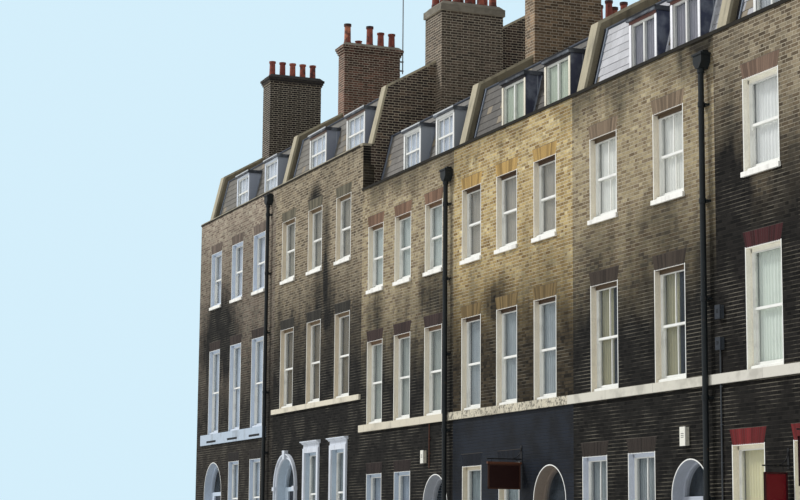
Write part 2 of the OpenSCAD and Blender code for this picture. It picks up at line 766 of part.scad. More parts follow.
// Window of a dormer: sashes in houses 1 to 3, a pair of casements in the others
dormer_frame_w = 45;
dormer_frame_d = 60;
module dormer_window(d) {
    i = d[0];
    x = [d[1] - dormer_w[i] / 2 + cheek_t, d[1] + dormer_w[i] / 2 - cheek_t];
    y = [at(dormer_y + 15), at(dormer_y + 15) + dormer_frame_d];
    z = [dormer_base(i) + cheek_t, dormer_top(i) - cheek_t];
    difference() {
        span(x, y, z);
        dormer_lights(x, [y[0] - EPS, y[1] + EPS], z, i);
    }
}
module dormer_lights(x, y, z, i) {
    f = dormer_frame_w;
    xm = (x[0] + x[1]) / 2;
    zm = (z[0] + z[1]) / 2;
    if (i < 3) {
        span([x[0] + f, x[1] - f], y, [z[0] + f, zm - f / 2]);
        span([x[0] + f, x[1] - f], y, [zm + f / 2, z[1] - f]);
    } else {
        span([x[0] + f, xm - f / 2], y, [z[0] + f, z[1] - f]);
        span([xm + f / 2, x[1] - f], y, [z[0] + f, z[1] - f]);
    }
}
module dormer_windows() {
    color("white") for (d = dormer_list) {
        dormer_window(d);
        to_rear() dormer_window(d);
    }
}
module dormer_panes(d) {
    i = d[0];
    y = at(dormer_y + 15) + dormer_frame_d / 2;
    dormer_lights([d[1] - dormer_w[i] / 2 + cheek_t, d[1] + dormer_w[i] / 2 - cheek_t],
                  [y - glass_t / 2, y + glass_t / 2],
                  [dormer_base(i) + cheek_t, dormer_top(i) - cheek_t], i);
}

// Windows, glass, arches, sills and bands
module ground_windows() { color("white") for (w = ground_list) sash_window(w); }
module first_windows() { color("white") for (w = first_list) sash_window(w); }
module second_windows() { color("white") for (w = second_list) sash_window(w); }
module rear_windows() { color("white") to_rear() for (w = rear_list) sash_window(w); }
module front_glass() {
    color("lightblue") {
        for (w = concat(ground_list, first_list, second_list)) sash_panes(w);
        for (d = dormer_list) dormer_panes(d);
    }
}
module rear_glass() {
    color("lightblue") to_rear() {
        for (w = rear_list) sash_panes(w);
        for (d = dormer_list) dormer_panes(d);
    }
}
module flat_arches() {
    color("tomato") {
        for (w = concat(ground_list, first_list, second_list)) flat_arch(w, 0);
        to_rear() for (w = rear_list) flat_arch(w, 0);
    }
}

// Sills of the storeys that have no band
module window_sills() {
    color("gainsboro") {
        for (w = concat(ground_list, second_list)) sill_block(w, sill_out);
        to_rear() for (w = rear_list) sill_block(w, sill_out);
    }
}

// Sill bands with the sills of the windows over them, and slots in the deep band of house 1
module band(x, top, h) {
    span(x, [at(-band_out), at(0)], [top - h, top]);
}
module sill_bands() {
    color("wheat") {
        difference() {
            band([party_x(0) + house_1_band_in, party_x(1) - house_1_band_in],
                 first_sill(0), house_1_band_h);
            for (w = of_house(first_list, 0))
                translate([w[1] - slot_w / 2, at(-band_out - EPS), w[3] - house_1_band_h + slot_up])
                    cube([slot_w, band_out * 0.6 + EPS, slot_h]);
        }
        band([wall_start(1), wall_start(2)], first_sill(1), house_2_band_h);
        band([wall_start(2), wall_start(6)], first_sill(2), low_band_h);
        for (w = first_list) sill_block(w, 0);
    }
}

// Doorways

// Section of the surround of house 2: distance from the doorway, and projection from the wall
module surround_section() {
    base = surround_out * 0.4;
    lip = surround_w * 0.27;
    square([surround_w, base]);
    translate([surround_w * 0.2, base]) circle(r = surround_w * 0.14, $fn = 32);
    translate([surround_w * 0.52, base]) circle(r = surround_w * 0.1, $fn = 32);
    translate([surround_w - lip, 0]) square([lip, surround_out]);
}

// Block that stands out beside or over the doorway
module surround_block(c, side, w, z) {
    lo = side < 0 ? c - door_r[1] - w : c + door_r[1];
    span([lo, lo + w], [at(-surround_out - 30), at(0)], z);
}

// Moulded jambs and round arch with a keystone, blocks at the springing and plinths at the foot
module door_surround() {
    c = door_c(1);
    r = door_r[1];
    z = spring_z(1);
    key = [z + r - 20, z + r + surround_w * 1.6];
    union() {
        translate([c, at(0), z]) rotate([90, 0, 0])
            rotate_extrude(angle = 180, $fn = 96) translate([r, 0]) surround_section();
        for (s = [0, 1])
            translate([c, at(0), 0]) mirror([s, 0, 0]) mirror([0, 1, 0])
                linear_extrude(z) translate([r, 0]) surround_section();
        for (side = [-1, 1]) {
            surround_block(c, side, surround_w + 20, [z - 110, z]);
            surround_block(c, side, surround_w + 10, [0, tall_ground]);
        }
        upright(-surround_out - 30, 0) polygon([
            [c - 70, key[0]], [c + 70, key[0]], [c + 110, key[1]], [c - 110, key[1]]]);
    }
}
module stone_surrounds() {
    color("white") {
        door_surround();
        for (w = of_house(ground_list, 1)) architrave(w);
    }
}

// Architrave round a ground window, with a frieze and a moulded cornice over it
module architrave(w) {
    x = [w[1] - w[2] / 2, w[1] + w[2] / 2];
    head = w[4] + architrave_w;
    foot = head + frieze_h;
    out = cornice_out;
    h = cornice_h;
    union() {
        difference() {
            span([x[0] - architrave_w, x[1] + architrave_w], [at(-architrave_out), at(0)],
                 [w[3], head]);
            span(x, [at(-architrave_out - EPS), at(EPS)], [w[3] - EPS, w[4]]);
        }
        span([x[0] - architrave_w, x[1] + architrave_w], [at(-architrave_out * 0.6), at(0)],
             [head, foot]);
        across(x[0] - architrave_w - out * 0.5, x[1] + architrave_w + out * 0.5) polygon([
            [0, foot], [-out * 0.4, foot], [-out * 0.45, foot + h * 0.2], [-out * 0.7, foot + h * 0.4],
            [-out * 0.7, foot + h * 0.5], [-out, foot + h * 0.6], [-out, foot + h * 0.85], [0, foot + h]]);
    }
}

// Door frame: two posts, and a head with a transom and a half-round fanlight frame
function leaf_w(i) = level(i, leaf_w_tall, leaf_w_low);
frame_depth = 100;
transom_h = 120;
fan_rail = 60;
door_back = door_setback + frame_depth;
module door_post(i, s) {
    c = door_c(i);
    side = leaf_w(i) / 2 + leaf_gap;
    lo = s < 0 ? c - door_r[i] : c + side;
    union() {
        span([lo, lo + door_r[i] - side], [at(door_setback), at(door_back)],
             [ground_z(i), spring_z(i) - transom_h]);
        if (s == hinge_side[i]) hinge_fixed(i);
    }
}
module door_posts() { color("white") for (i = HOUSES, s = [-1, 1]) door_post(i, s); }
module door_head(i) {
    c = door_c(i);
    r = door_r[i];
    z = spring_z(i);
    union() {
        span([c - r, c + r], [at(door_setback), at(door_back)], [z - transom_h, z]);
        intersection() {
            upright(door_setback, door_back) translate([c, z]) difference() {
                circle(r = r - fit_gap, $fn = 96);
                circle(r = r - fan_rail, $fn = 96);
            }
            span([c - r, c + r], [at(door_setback), at(door_back)], [z, z + r]);
        }
    }
}
module door_heads() { color("white") for (i = HOUSES) door_head(i); }
module fanlights() {
    color("lightblue") for (i = HOUSES) {
        c = door_c(i);
        mid = (door_setback + door_back) / 2;
        intersection() {
            upright(mid - glass_t / 2, mid + glass_t / 2) translate([c, spring_z(i)])
                circle(r = door_r[i] - fan_rail - fit_gap, $fn = 96);
            span([c - door_r[i], c + door_r[i]], [at(door_setback), at(door_back)],
                 [spring_z(i), spring_z(i) + door_r[i]]);
        }
    }
}

// Hinges: the side is -1 for hinges on the left of the leaf and 1 on the right
hinge_side = [-1, -1, 1, 1, 1, 1];
knuckle_r = 7;
knuckle_h = 55;
hinge_y = door_back + 8;
flap_t = 3;
flap_w = 60;
function hinge_x(i) = door_c(i) + hinge_side[i] * (leaf_w(i) / 2 + leaf_gap / 2);
function leaf_foot(i) = ground_z(i) + leaf_gap + 2;
function leaf_head(i) = spring_z(i) - transom_h - leaf_gap;
function hinge_zs(i) = [leaf_foot(i) + 250, (leaf_foot(i) + leaf_head(i)) / 2, leaf_head(i) - 250];
module hinge_half(i, z, s) {
    translate([hinge_x(i), at(hinge_y), z]) cylinder(h = knuckle_h, r = knuckle_r, $fn = 24);
    span([hinge_x(i) + (s < 0 ? -flap_w : 0), hinge_x(i) + (s < 0 ? 0 : flap_w)],
         [at(door_back), at(door_back + flap_t)], [z, z + knuckle_h]);
}
module hinge_fixed(i) {
    for (z = hinge_zs(i)) hinge_half(i, z - knuckle_h, hinge_side[i]);
}

// Panelled door leaf with its hinge halves and a round knob
module front_door(i) {
    c = door_c(i);
    x = [c - leaf_w(i) / 2, c + leaf_w(i) / 2];
    y = [at(door_back - leaf_t), at(door_back)];
    z = [leaf_foot(i), leaf_head(i)];
    h = z[1] - z[0];
    rows = [[z[0] + 220, z[0] + h * 0.38], [z[0] + h * 0.46, z[0] + h * 0.79],
            [z[0] + h * 0.84, z[1] - 110]];
    color("darkslategray") union() {
        difference() {
            span(x, y, z);
            for (p = rows, s = [-1, 1]) {
                px = s < 0 ? [x[0] + 110, c - 50] : [c + 50, x[1] - 110];
                span(px, [y[0] - EPS, y[0] + 10], p);
                span(px, [y[1] - 10, y[1] + EPS], p);
            }
        }
        for (hz = hinge_zs(i)) hinge_half(i, hz + fit_gap, -hinge_side[i]);
        translate([c - hinge_side[i] * (leaf_w(i) / 2 - 60), y[0], z[0] + h * 0.42]) rotate([90, 0, 0])
            rotate_extrude($fn = 32) polygon([[0, 0], [24, 0], [24, 6], [10, 10], [10, 34],
                [28, 44], [28, 56], [0, 62]]);
    }
}

// Stone steps up to each door, with the threshold inside the doorway
module door_steps() {
    color("silver") for (i = HOUSES) {
        c = door_c(i);
        count = round(ground_z(i) / step_rise);
        rise = ground_z(i) / count;
        union() {
            span([c - door_r[i], c + door_r[i]], [at(0), at(wall_t)], [0, ground_z(i)]);
            for (n = [1 : max(1, count - 1)])
                span([c - door_r[i], c + door_r[i]], [at(-(count - n) * step_going), at(0)],
                     [0, n * rise]);
        }
    }
}

// Rainwater pipes with hopper heads, beside the party lines between 1 and 2, 3 and 4, 5 and 6
pipe_out = band_out + pipe_r + 5;
pipe_wall = [1, 3, 5];
pipe_list = [for (n = [0 : 2]) [party_x(pipe_wall[n]) - pipe_in[n],
                                coping_z(pipe_wall[n] - 1) - hopper_drop[n]]];
module downpipe(p) {
    front = -pipe_out - pipe_r - 25;
    half = hopper_w / 2;
    rim = 18;
    union() {
        translate([p[0], at(-pipe_out), 0]) cylinder(h = p[1] + EPS, r = pipe_r, $fn = 32);
        for (z = [600 : 1800 : p[1] - 300]) {
            translate([p[0], at(-pipe_out), z]) cylinder(h = 90, r = pipe_r + 12, $fn = 32);
            span([p[0] - pipe_r - 45, p[0] + pipe_r + 45], [at(-pipe_out + 30), at(0)],
                 [z + 20, z + 60]);
        }
        translate([p[0], at(-pipe_out), p[1] - 80]) cylinder(h = 80, r = pipe_r + 15, $fn = 32);
        upright(front, 0) translate([p[0], p[1]]) polygon([
            [-pipe_r, 0], [pipe_r, 0], [half, hopper_h * 0.4], [half, hopper_h],
            [-half, hopper_h], [-half, hopper_h * 0.4]]);
        span([p[0] - half - rim, p[0] + half + rim], [at(front - rim), at(0)],
             [p[1] + hopper_h - 40, p[1] + hopper_h]);
        span([p[0] - half / 2, p[0] + half / 2], [at(-pipe_out), at(0)],
             [p[1] + hopper_h, p[1] + hopper_h + 60]);
    }
}
module downpipes() { color("darkgreen") for (p = pipe_list) downpipe(p); }

// Bare boards and the meter and alarm boxes on the street face
module plate(i, b, out) {
    span([party_x(i) + b[0] - b[2] / 2, party_x(i) + b[0] + b[2] / 2], [at(-out), at(0)],
         [b[1], b[1] + b[3]]);
}
module sign_boards() {
    color("maroon") {
        plate(3, board_4, board_out);
        plate(5, board_6, board_out);
    }
}
module wall_boxes() {
    color("ivory") {
        plate(2, box_3, box_out);
        plate(4, box_5, box_out);
        plate(5, box_6_upper, box_out);
        plate(5, box_6_lower, box_out);
    }
}

ground_wall(0);  // ground_wall_1
ground_wall(1);  // ground_wall_2
ground_wall(2);  // ground_wall_3
ground_wall(3);  // ground_wall_4
ground_wall(4);  // ground_wall_5
ground_wall(5);  // ground_wall_6
front_wall(0);  // front_wall_1
front_wall(1);  // front_wall_2
front_wall(2);  // front_wall_3
front_wall(3);  // front_wall_4
front_wall(4);  // front_wall_5
front_wall(5);  // front_wall_6
rear_wall();
party_walls();
ground_floors();
first_floors();
second_floors();
attic_floors();
mansard_slopes();
upper_slopes();
rear_upper_slopes();
ridge_tiles();
parapet_copings();
party_copings();
chimney_stacks();
chimney_pots();
aerial_mast();
dormer_boxes();
dormer_roofs();
dormer_windows();
ground_windows();
first_windows();
second_windows();
rear_windows();
front_glass();
rear_glass();
flat_arches();
window_sills();
sill_bands();
stone_surrounds();
door_posts();
door_heads();
fanlights();
door_steps();
downpipes();
sign_boards();
wall_boxes();
front_door(0);  // front_door_1
front_door(1);  // front_door_2
front_door(2);  // front_door_3
front_door(3);  // front_door_4
front_door(4);  // front_door_5
front_door(5);  // front_door_6
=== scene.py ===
import math
import random

import bmesh
import bpy
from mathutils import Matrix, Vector


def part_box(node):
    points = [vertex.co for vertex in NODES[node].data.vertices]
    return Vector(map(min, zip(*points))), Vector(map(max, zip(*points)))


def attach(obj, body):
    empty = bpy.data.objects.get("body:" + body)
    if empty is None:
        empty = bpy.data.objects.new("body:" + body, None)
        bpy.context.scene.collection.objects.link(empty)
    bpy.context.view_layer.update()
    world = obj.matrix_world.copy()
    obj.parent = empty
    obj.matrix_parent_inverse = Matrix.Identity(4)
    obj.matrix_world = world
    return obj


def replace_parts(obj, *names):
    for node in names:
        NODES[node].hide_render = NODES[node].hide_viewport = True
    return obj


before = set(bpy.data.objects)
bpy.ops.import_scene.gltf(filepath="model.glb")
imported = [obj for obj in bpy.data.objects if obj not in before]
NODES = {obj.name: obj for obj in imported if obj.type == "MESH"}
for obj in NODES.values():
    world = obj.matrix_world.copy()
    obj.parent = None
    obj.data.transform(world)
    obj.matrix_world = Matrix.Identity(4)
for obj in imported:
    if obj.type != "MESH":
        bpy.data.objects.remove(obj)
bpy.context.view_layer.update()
RANDOM = random.Random(11)
STREET, REAR = 1, -1

# Sizes of what the CAD leaves to the scene
COURSE = 0.073              # height of a brick course with its joint
STRETCHER = 0.225           # length of a brick with its joint
FLEMISH = 0.3375            # length of a stretcher and a header with their joints
JOINT = 0.012               # thickness of the mortar
PAINT = 0.003               # how far thin linings stand off what they cover
EDGE_W = 0.022              # painted edge round an opening, on the face of the wall
EDGE = (-0.0015, 0.001)     # depths of the front and back of that edge
HEAD_FACE = 0.070           # facing of the head of a box frame
BOX_FACE = 0.030            # facing of the sides of a box frame
FRAME_W = 0.040             # timber of a box frame
SASH_W, SASH_T = 0.048, 0.040   # width and thickness of the timber of a sash
SASH_PLANE = 0.055          # from the front of a box frame to between its two sashes
BAR_HALF = 0.011            # half the width of a glazing bar
SILL_OUT = 0.065            # how far a timber sill stands before its box frame
SILL_FRONT, SILL_BACK = 0.06, 0.085     # height of that sill at its front and its back
RAIL_W, HORN = 0.095, 0.095 # height of a bottom rail, and drop of a horn below the meeting rails
CHEEK = 0.055               # width of the casing of a dormer
GAUGE = 0.19                # part of each slate that shows
SLATE_W, SLATE_T = 0.25, 0.007  # width and thickness of a slate
SLATE_GAP = 0.002           # half the gap between slates, and their distance from what stands in them
NARROWEST = 0.02            # slates narrower than this are left out
VOUSSOIR = 0.076            # width of an arch brick with its joint
ARCH_JOINT = 0.008          # joint between arch bricks
ARCH_STEPS = 24             # straight pieces in the round head of a doorway
PLEAT, PLEAT_DEPTH, NET_STEPS = 0.095, 0.016, 10    # width, depth and points of a fold of a net


def corners(points):
    """Lowest and highest corner of a list of points."""
    low = Vector([min(p[k] for p in points) for k in range(3)])
    high = Vector([max(p[k] for p in points) for k in range(3)])
    return low, high


def solids(node):
    """The separate solids of a CAD node, each as a list of its points, from left to right."""
    mesh = NODES[node].data
    owner = list(range(len(mesh.vertices)))

    def root(n):
        while owner[n] != n:
            owner[n] = owner[owner[n]]
            n = owner[n]
        return n

    same = {}
    for v in mesh.vertices:
        key = tuple(round(c, 5) for c in v.co)
        owner[root(v.index)] = root(same.setdefault(key, v.index))
    for face in mesh.polygons:
        for v in face.vertices[1:]:
            owner[root(v)] = root(face.vertices[0])
    groups = {}
    for v in mesh.vertices:
        groups.setdefault(root(v.index), []).append(v.co.copy())
    return sorted(groups.values(), key=lambda g: min(p.x for p in g))


# Places read from the frame
WALLS = [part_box(f"ground_wall_{n}") for n in range(1, 7)]
FACE = WALLS[0][0].y
HALF_PARTY = (WALLS[0][1].y - FACE) / 2
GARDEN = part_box("rear_wall")[1].y
MIDDLE = (FACE + GARDEN) / 2
PARTY = [WALLS[0][0].x + HALF_PARTY] + [w[1].x - HALF_PARTY for w in WALLS]
COPING = [min(p.z for p in g) for g in solids("parapet_copings")]
COPING_LOW = min(COPING)
RIDGE_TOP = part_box("ridge_tiles")[1].z


def house_at(x):
    """Number of the house at a place along the row, from 0."""
    return max(0, min(5, sum(1 for p in PARTY[1:6] if x > p)))


def at(side, depth):
    """Place across the row at a depth behind the street face or the garden face."""
    return FACE + depth if side == STREET else GARDEN - depth


def span(side, near, far):
    """Two places across the row, at two depths."""
    return [at(side, near), at(side, far)]


def pieces(node):
    """Points, house, side, lowest and highest corner of each solid of a CAD node."""
    found = []
    for points in solids(node):
        low, high = corners(points)
        side = STREET if (low.y + high.y) / 2 < MIDDLE else REAR
        found.append((points, house_at((low.x + high.x) / 2), side, low, high))
    return found


def windows(node):
    """House, side and corners of each box frame of a node; loose bars, which are thinner, are left out."""
    return [piece[1:] for piece in pieces(node) if piece[4].y - piece[3].y > 0.09]


def doorways():
    """Lowest and highest corner of the round head of each doorway, and the foot of its posts."""
    posts = [p for g in solids("door_posts") for p in g]
    found = []
    for _, _, _, low, high in pieces("door_heads"):
        found.append((low, high, min(p.z for p in posts if abs(p.x - low.x) < 1.5)))
    return found


GROUND = windows("ground_windows")
FIRST = windows("first_windows")
SECOND = windows("second_windows")
REAR_WINDOWS = windows("rear_windows")
DORMERS = [piece[1:] for piece in pieces("dormer_windows")]
DORMER_BOXES = pieces("dormer_boxes")
DOORWAYS = doorways()
REVEAL = GROUND[0][2].y - FACE
BAND_TOP = min(low.z for house, _, low, _ in FIRST if house > 1)
STACKS = solids("chimney_stacks")
STACK_HEADS = [max(p.z for g in STACKS for p in g if abs(p.x - wall) < 1.2) for wall in PARTY]
STACK_CAP_FOOT = min(p.z for g in STACKS for p in g
                     if 0.6 < p.x - PARTY[2] < 1.0 and p.y < MIDDLE)


def srgb(red, green, blue):
    """Linear colour from the 0 to 255 values that a picture would show."""
    return tuple((c / 255 / 12.92) if c <= 10 else ((c / 255 + 0.055) / 1.055) ** 2.4
                 for c in (red, green, blue)) + (1.0,)


def shades(*colours):
    """A list of colours from their 0 to 255 values."""
    return [srgb(*colour) for colour in colours]


def grey(value):
    """A neutral colour from a number; a colour stays as it is."""
    return value if isinstance(value, tuple) else (value, value, value, 1)


def scaled(colour, factor):
    """A colour made lighter or darker."""
    return tuple(c * factor for c in colour[:3]) + (1,)


class Look:
    """A procedural material, built node by node in the object's own coordinates."""

    def __init__(self, name):
        self.material = bpy.data.materials.new(name)
        self.material.use_nodes = True
        self.tree = self.material.node_tree
        self.tree.nodes.clear()
        self.place = self.node("TexCoord", pick="Object")
        self.x, self.y, self.z = self.split(self.place)
        self.nx, self.ny, self.nz = self.split(self.node("NewGeometry", pick="True Normal"))
        self.heights = []

    def node(self, kind, inputs=None, pick=0, **settings):
        made = self.tree.nodes.new("ShaderNode" + kind)
        for key, value in settings.items():
            setattr(made, key, value)
        for key, value in (inputs or {}).items():
            if isinstance(value, bpy.types.NodeSocket):
                self.tree.links.new(value, made.inputs[key])
            else:
                made.inputs[key].default_value = value
        return made.outputs[pick]

    def split(self, vector):
        parts = self.tree.nodes.new("ShaderNodeSeparateXYZ")
        self.tree.links.new(vector, parts.inputs[0])
        return parts.outputs

    def join(self, x=0.0, y=0.0, z=0.0):
        return self.node("CombineXYZ", {0: x, 1: y, 2: z})

    def math(self, operation, a, b=0.0, clamp=False):
        return self.node("Math", {0: a, 1: b}, operation=operation, use_clamp=clamp)

    def add(self, a, b, clamp=False):
        return self.math("ADD", a, b, clamp)

    def minus(self, a, b):
        return self.math("SUBTRACT", a, b)

    def times(self, a, b):
        return self.math("MULTIPLY", a, b)

    def divide(self, a, b):
        return self.math("DIVIDE", a, b)

    def over(self, a, b):
        return self.math("GREATER_THAN", a, b)

    def under(self, a, b):
        return self.math("LESS_THAN", a, b)

    def lines(self, value, spacing, share):
        """1 on a line at each step of the spacing, as wide as a share of it."""
        return self.under(self.math("FRACT", self.divide(value, spacing)), share)

    def steps(self, value, low, high, to_low=0.0, to_high=1.0):
        """Smooth rise from to_low to to_high while value goes from low to high."""
        return self.node("MapRange", {0: value, 1: low, 2: high, 3: to_low, 4: to_high},
                         interpolation_type="SMOOTHSTEP")

    def mix(self, factor, a, b, blend="MIX"):
        return self.node("Mix", {0: factor, 6: a, 7: b}, pick=2, data_type="RGBA", blend_type=blend)

    def choose(self, factor, a, b):
        return self.node("Mix", {0: factor, 2: a, 3: b}, data_type="FLOAT")

    def uneven(self, amount, colour, pattern, low, high):
        """The colour multiplied by a pattern that runs from low to high."""
        return self.mix(amount, colour, self.mix(pattern, grey(low), grey(high)), "MULTIPLY")

    def noise(self, scale, detail=2.0, vector=None, roughness=0.5):
        return self.node("TexNoise", {"Vector": vector or self.place, "Scale": scale,
                                      "Detail": detail, "Roughness": roughness})

    def drawn_out(self, x, y, z, detail=4.0):
        """Noise with its own scale along each axis."""
        place = self.join(self.times(self.x, x), self.times(self.y, y), self.times(self.z, z))
        return self.noise(1.0, detail, place)

    def chance(self, x, y=0.0):
        """A number from 0 to 1 for each cell, by its whole numbers."""
        return self.node("TexWhiteNoise", {"Vector": self.join(x, y)}, pick="Value")

    def tint(self):
        """The colour that each solid of a joined mesh carries."""
        return self.node("Attribute", pick="Color", attribute_name="tint")

    def ramp(self, factor, stops, constant=False):
        """Colours or greys at their places from 0 to 1."""
        made = self.tree.nodes.new("ShaderNodeValToRGB")
        self.tree.links.new(factor, made.inputs[0])
        band = made.color_ramp
        band.interpolation = "CONSTANT" if constant else "LINEAR"
        while len(band.elements) < len(stops):
            band.elements.new(1.0)
        for element, (place, colour) in zip(band.elements, stops):
            element.position = place
            element.color = grey(colour)
        return made.outputs[0]

    def along(self, value, low, high, stops, constant=False):
        """A ramp whose stops are places between low and high."""
        share = self.node("MapRange", {0: value, 1: low, 2: high})
        return self.ramp(share, [((p - low) / (high - low), c) for p, c in stops], constant)

    def inside(self, low, high):
        """1 inside a box between two corners; None leaves a side open."""
        result = 1.0
        for value, a, b in zip((self.x, self.y, self.z), low, high):
            for limit, compare in ((a, self.over), (b, self.under)):
                if limit is not None:
                    result = self.times(compare(value, limit), result)
        return result

    def bump(self, height, distance, strength=0.6):
        self.heights.append((height, distance, strength))

    def finish(self, colour, roughness=0.85, **sockets):
        """Adds the shader with the bumps gathered so far, and returns the material."""
        inputs = {"Base Color": colour, "Roughness": roughness}
        inputs.update({k.replace("_", " "): v for k, v in sockets.items()})
        normal = None
        for height, distance, strength in self.heights:
            values = {"Height": height, "Distance": distance, "Strength": strength}
            if normal:
                values["Normal"] = normal
            normal = self.node("Bump", values)
        if normal:
            inputs["Normal"] = normal
        shader = self.node("BsdfPrincipled", inputs)
        output = self.tree.nodes.new("ShaderNodeOutputMaterial")
        self.tree.links.new(shader, output.inputs["Surface"])
        return self.material


def wear(look, colour, amount=0.35, scale=3.0):
    """Colour with large soft stains and a fine grain."""
    stain = look.steps(look.noise(scale, 5.0), 0.5, 0.72)
    shade = look.mix(look.times(stain, amount), colour, srgb(90, 85, 75))
    return look.uneven(0.25, shade, look.noise(scale * 16, 3.0), 0.72, 1.3)


def brick_cells(look):
    """Flemish bond on upright faces: each brick's number from 0 to 1, the share of mortar and of beds."""
    sideways = look.over(look.math("ABSOLUTE", look.nx), 0.5)
    along = look.choose(sideways, look.x, look.y)
    courses = look.divide(look.z, COURSE)
    row = look.math("FLOOR", courses)
    shift = look.times(look.math("FLOORED_MODULO", row, 2.0), 0.5)
    cell = look.add(look.divide(along, FLEMISH), shift)
    pair = look.math("FLOOR", cell)
    place = look.minus(cell, pair)
    header = look.over(place, STRETCHER / FLEMISH)
    number = look.chance(look.add(look.times(pair, 2.0), header), row)
    ends = look.math("MINIMUM", place, look.minus(1.0, place))
    ends = look.math("MINIMUM", ends, look.math("ABSOLUTE", look.minus(place, STRETCHER / FLEMISH)))
    rise = look.minus(courses, row)
    beds = look.math("MINIMUM", rise, look.minus(1.0, rise))
    wobble = look.times(look.add(look.noise(45.0, 2.0), -0.5), 0.006)
    fade = (JOINT / 2 - 0.001, JOINT / 2 + 0.0025, 1.0, 0.0)
    bed = look.steps(look.add(look.times(beds, COURSE), wobble), *fade)
    perp = look.steps(look.add(look.times(ends, FLEMISH), wobble), *fade)
    return number, look.math("MAXIMUM", bed, look.times(perp, 0.75)), bed


def by_house(look, colours):
    """The colour of the house at each place along the row."""
    shade = colours[0]
    for place, colour in zip(PARTY[1:6], colours[1:]):
        shade = look.mix(look.over(look.x, place), shade, colour)
    return shade


def soot_cover(look, number, levels, stains, end):
    """How dark the wall is, from 0 to 1: soot by height and round each stain, and a darkening of the faces
    that look to the right along the row.
    """
    streaks = look.drawn_out(2.6, 2.6, 0.35, 3.0)
    clouds = look.noise(0.55, 3.0)
    wander = look.add(look.times(look.add(streaks, -0.5), 1.7), look.times(look.add(clouds, -0.5), 2.2))
    soot = look.along(look.add(look.z, wander), 0.0, 13.0, levels)
    for x, z, width, height, share in stains:
        across = look.math("POWER", look.divide(look.add(look.x, -x), width), 2.0)
        up = look.math("POWER", look.divide(look.add(look.z, -z), height), 2.0)
        reach = look.add(look.add(across, up), look.times(look.add(streaks, -0.5), 1.2))
        soot = look.add(soot, look.steps(reach, -0.1, 1.7, share, 0.0), clamp=True)
    # end darkens every face that looks to the right along the row.
    if end:
        soot = look.add(soot, look.times(look.over(look.nx, 0.5), end), clamp=True)
    speckle = look.times(look.add(number, -0.5), 0.3)
    loose = look.times(look.steps(soot, 0.02, 0.3), look.steps(soot, 0.75, 0.95, 1.0, 0.0))
    return look.add(soot, look.times(speckle, loose), clamp=True)


def brickwork(name, bricks, sooty, mortar, levels, stains=(), painted=None, end=0.0):
    """Stock brickwork with soot by levels [(height, share)] and stains [(x, z, width, height, share)].
    Below painted (height, colour) the wall is painted over. end darkens the faces that look to the right
    along the row."""
    look = Look(name)
    number, joint, bed = brick_cells(look)
    soot = soot_cover(look, number, levels, stains, end)
    count = len(bricks) - 1
    clean = look.ramp(number, [(k / count, c) for k, c in enumerate(bricks)])
    clean = look.uneven(0.7, clean, look.noise(1.3, 4.0), (0.62, 0.60, 0.58, 1), (1.32, 1.34, 1.36, 1))
    grain = look.noise(90.0, 3.0)
    body = look.mix(soot, clean, look.mix(number, scaled(sooty, 0.3), scaled(sooty, 1.6)))
    body = look.uneven(0.35, body, grain, 0.6, 1.5)
    body = look.uneven(0.75, body, look.noise(13.0, 5.0, roughness=0.65),
                       (0.25, 0.25, 0.24, 1), (1.75, 1.75, 1.78, 1))
    worn = look.steps(look.noise(1.7, 5.0), 0.42, 0.72)
    washed = look.mix(worn, scaled(DARK_MORTAR, 0.18), scaled(DARK_MORTAR, 1.6))
    jointing = look.uneven(0.6, look.mix(soot, mortar, washed), look.noise(9.0, 3.0), 0.4, 1.6)
    joint = look.choose(look.times(soot, 0.85), joint, bed)
    colour = look.mix(joint, body, jointing)
    roughness = 0.92
    if painted:
        level, coat = painted
        below = look.under(look.z, level)
        faded = look.steps(look.noise(2.2, 5.0), 0.3, 0.7)
        coat = look.mix(faded, scaled(coat, 0.5), scaled(coat, 1.5))
        coat = look.mix(look.times(bed, 0.5), coat, srgb(8, 10, 13))
        colour = look.mix(below, colour, coat)
        roughness = look.choose(below, roughness, 0.6)
    look.bump(look.add(look.times(joint, -1.0), look.times(grain, 0.35)), 0.006, 0.9)
    return look.finish(colour, roughness, Specular_IOR_Level=0.15)


def slate_look():
    """Riven slate: a tint for each slate, taken from the mesh, with grain and lichen."""
    look = Look("riven_slate")
    grain = look.drawn_out(40.0, 9.0, 9.0)
    lichen = look.steps(look.noise(7.0, 5.0), 0.6, 0.75)
    colour = look.uneven(0.6, look.tint(), grain, 0.7, 1.3)
    colour = look.mix(look.times(lichen, 0.25), colour, srgb(150, 146, 120))
    look.bump(grain, 0.0015)
    return look.finish(colour, 0.55)


def tinted(name, roughness, grain_scale, relief):
    """A material whose colour comes from each solid of a joined mesh, with grain over it."""
    look = Look(name)
    grain = look.noise(grain_scale, 3.0)
    colour = look.uneven(0.4, look.tint(), grain, 0.65, 1.4)
    colour = look.uneven(0.35, colour, look.noise(2.5, 4.0), 0.6, 1.35)
    look.bump(grain, relief, 0.7)
    return look.finish(colour, roughness, Specular_IOR_Level=0.2)


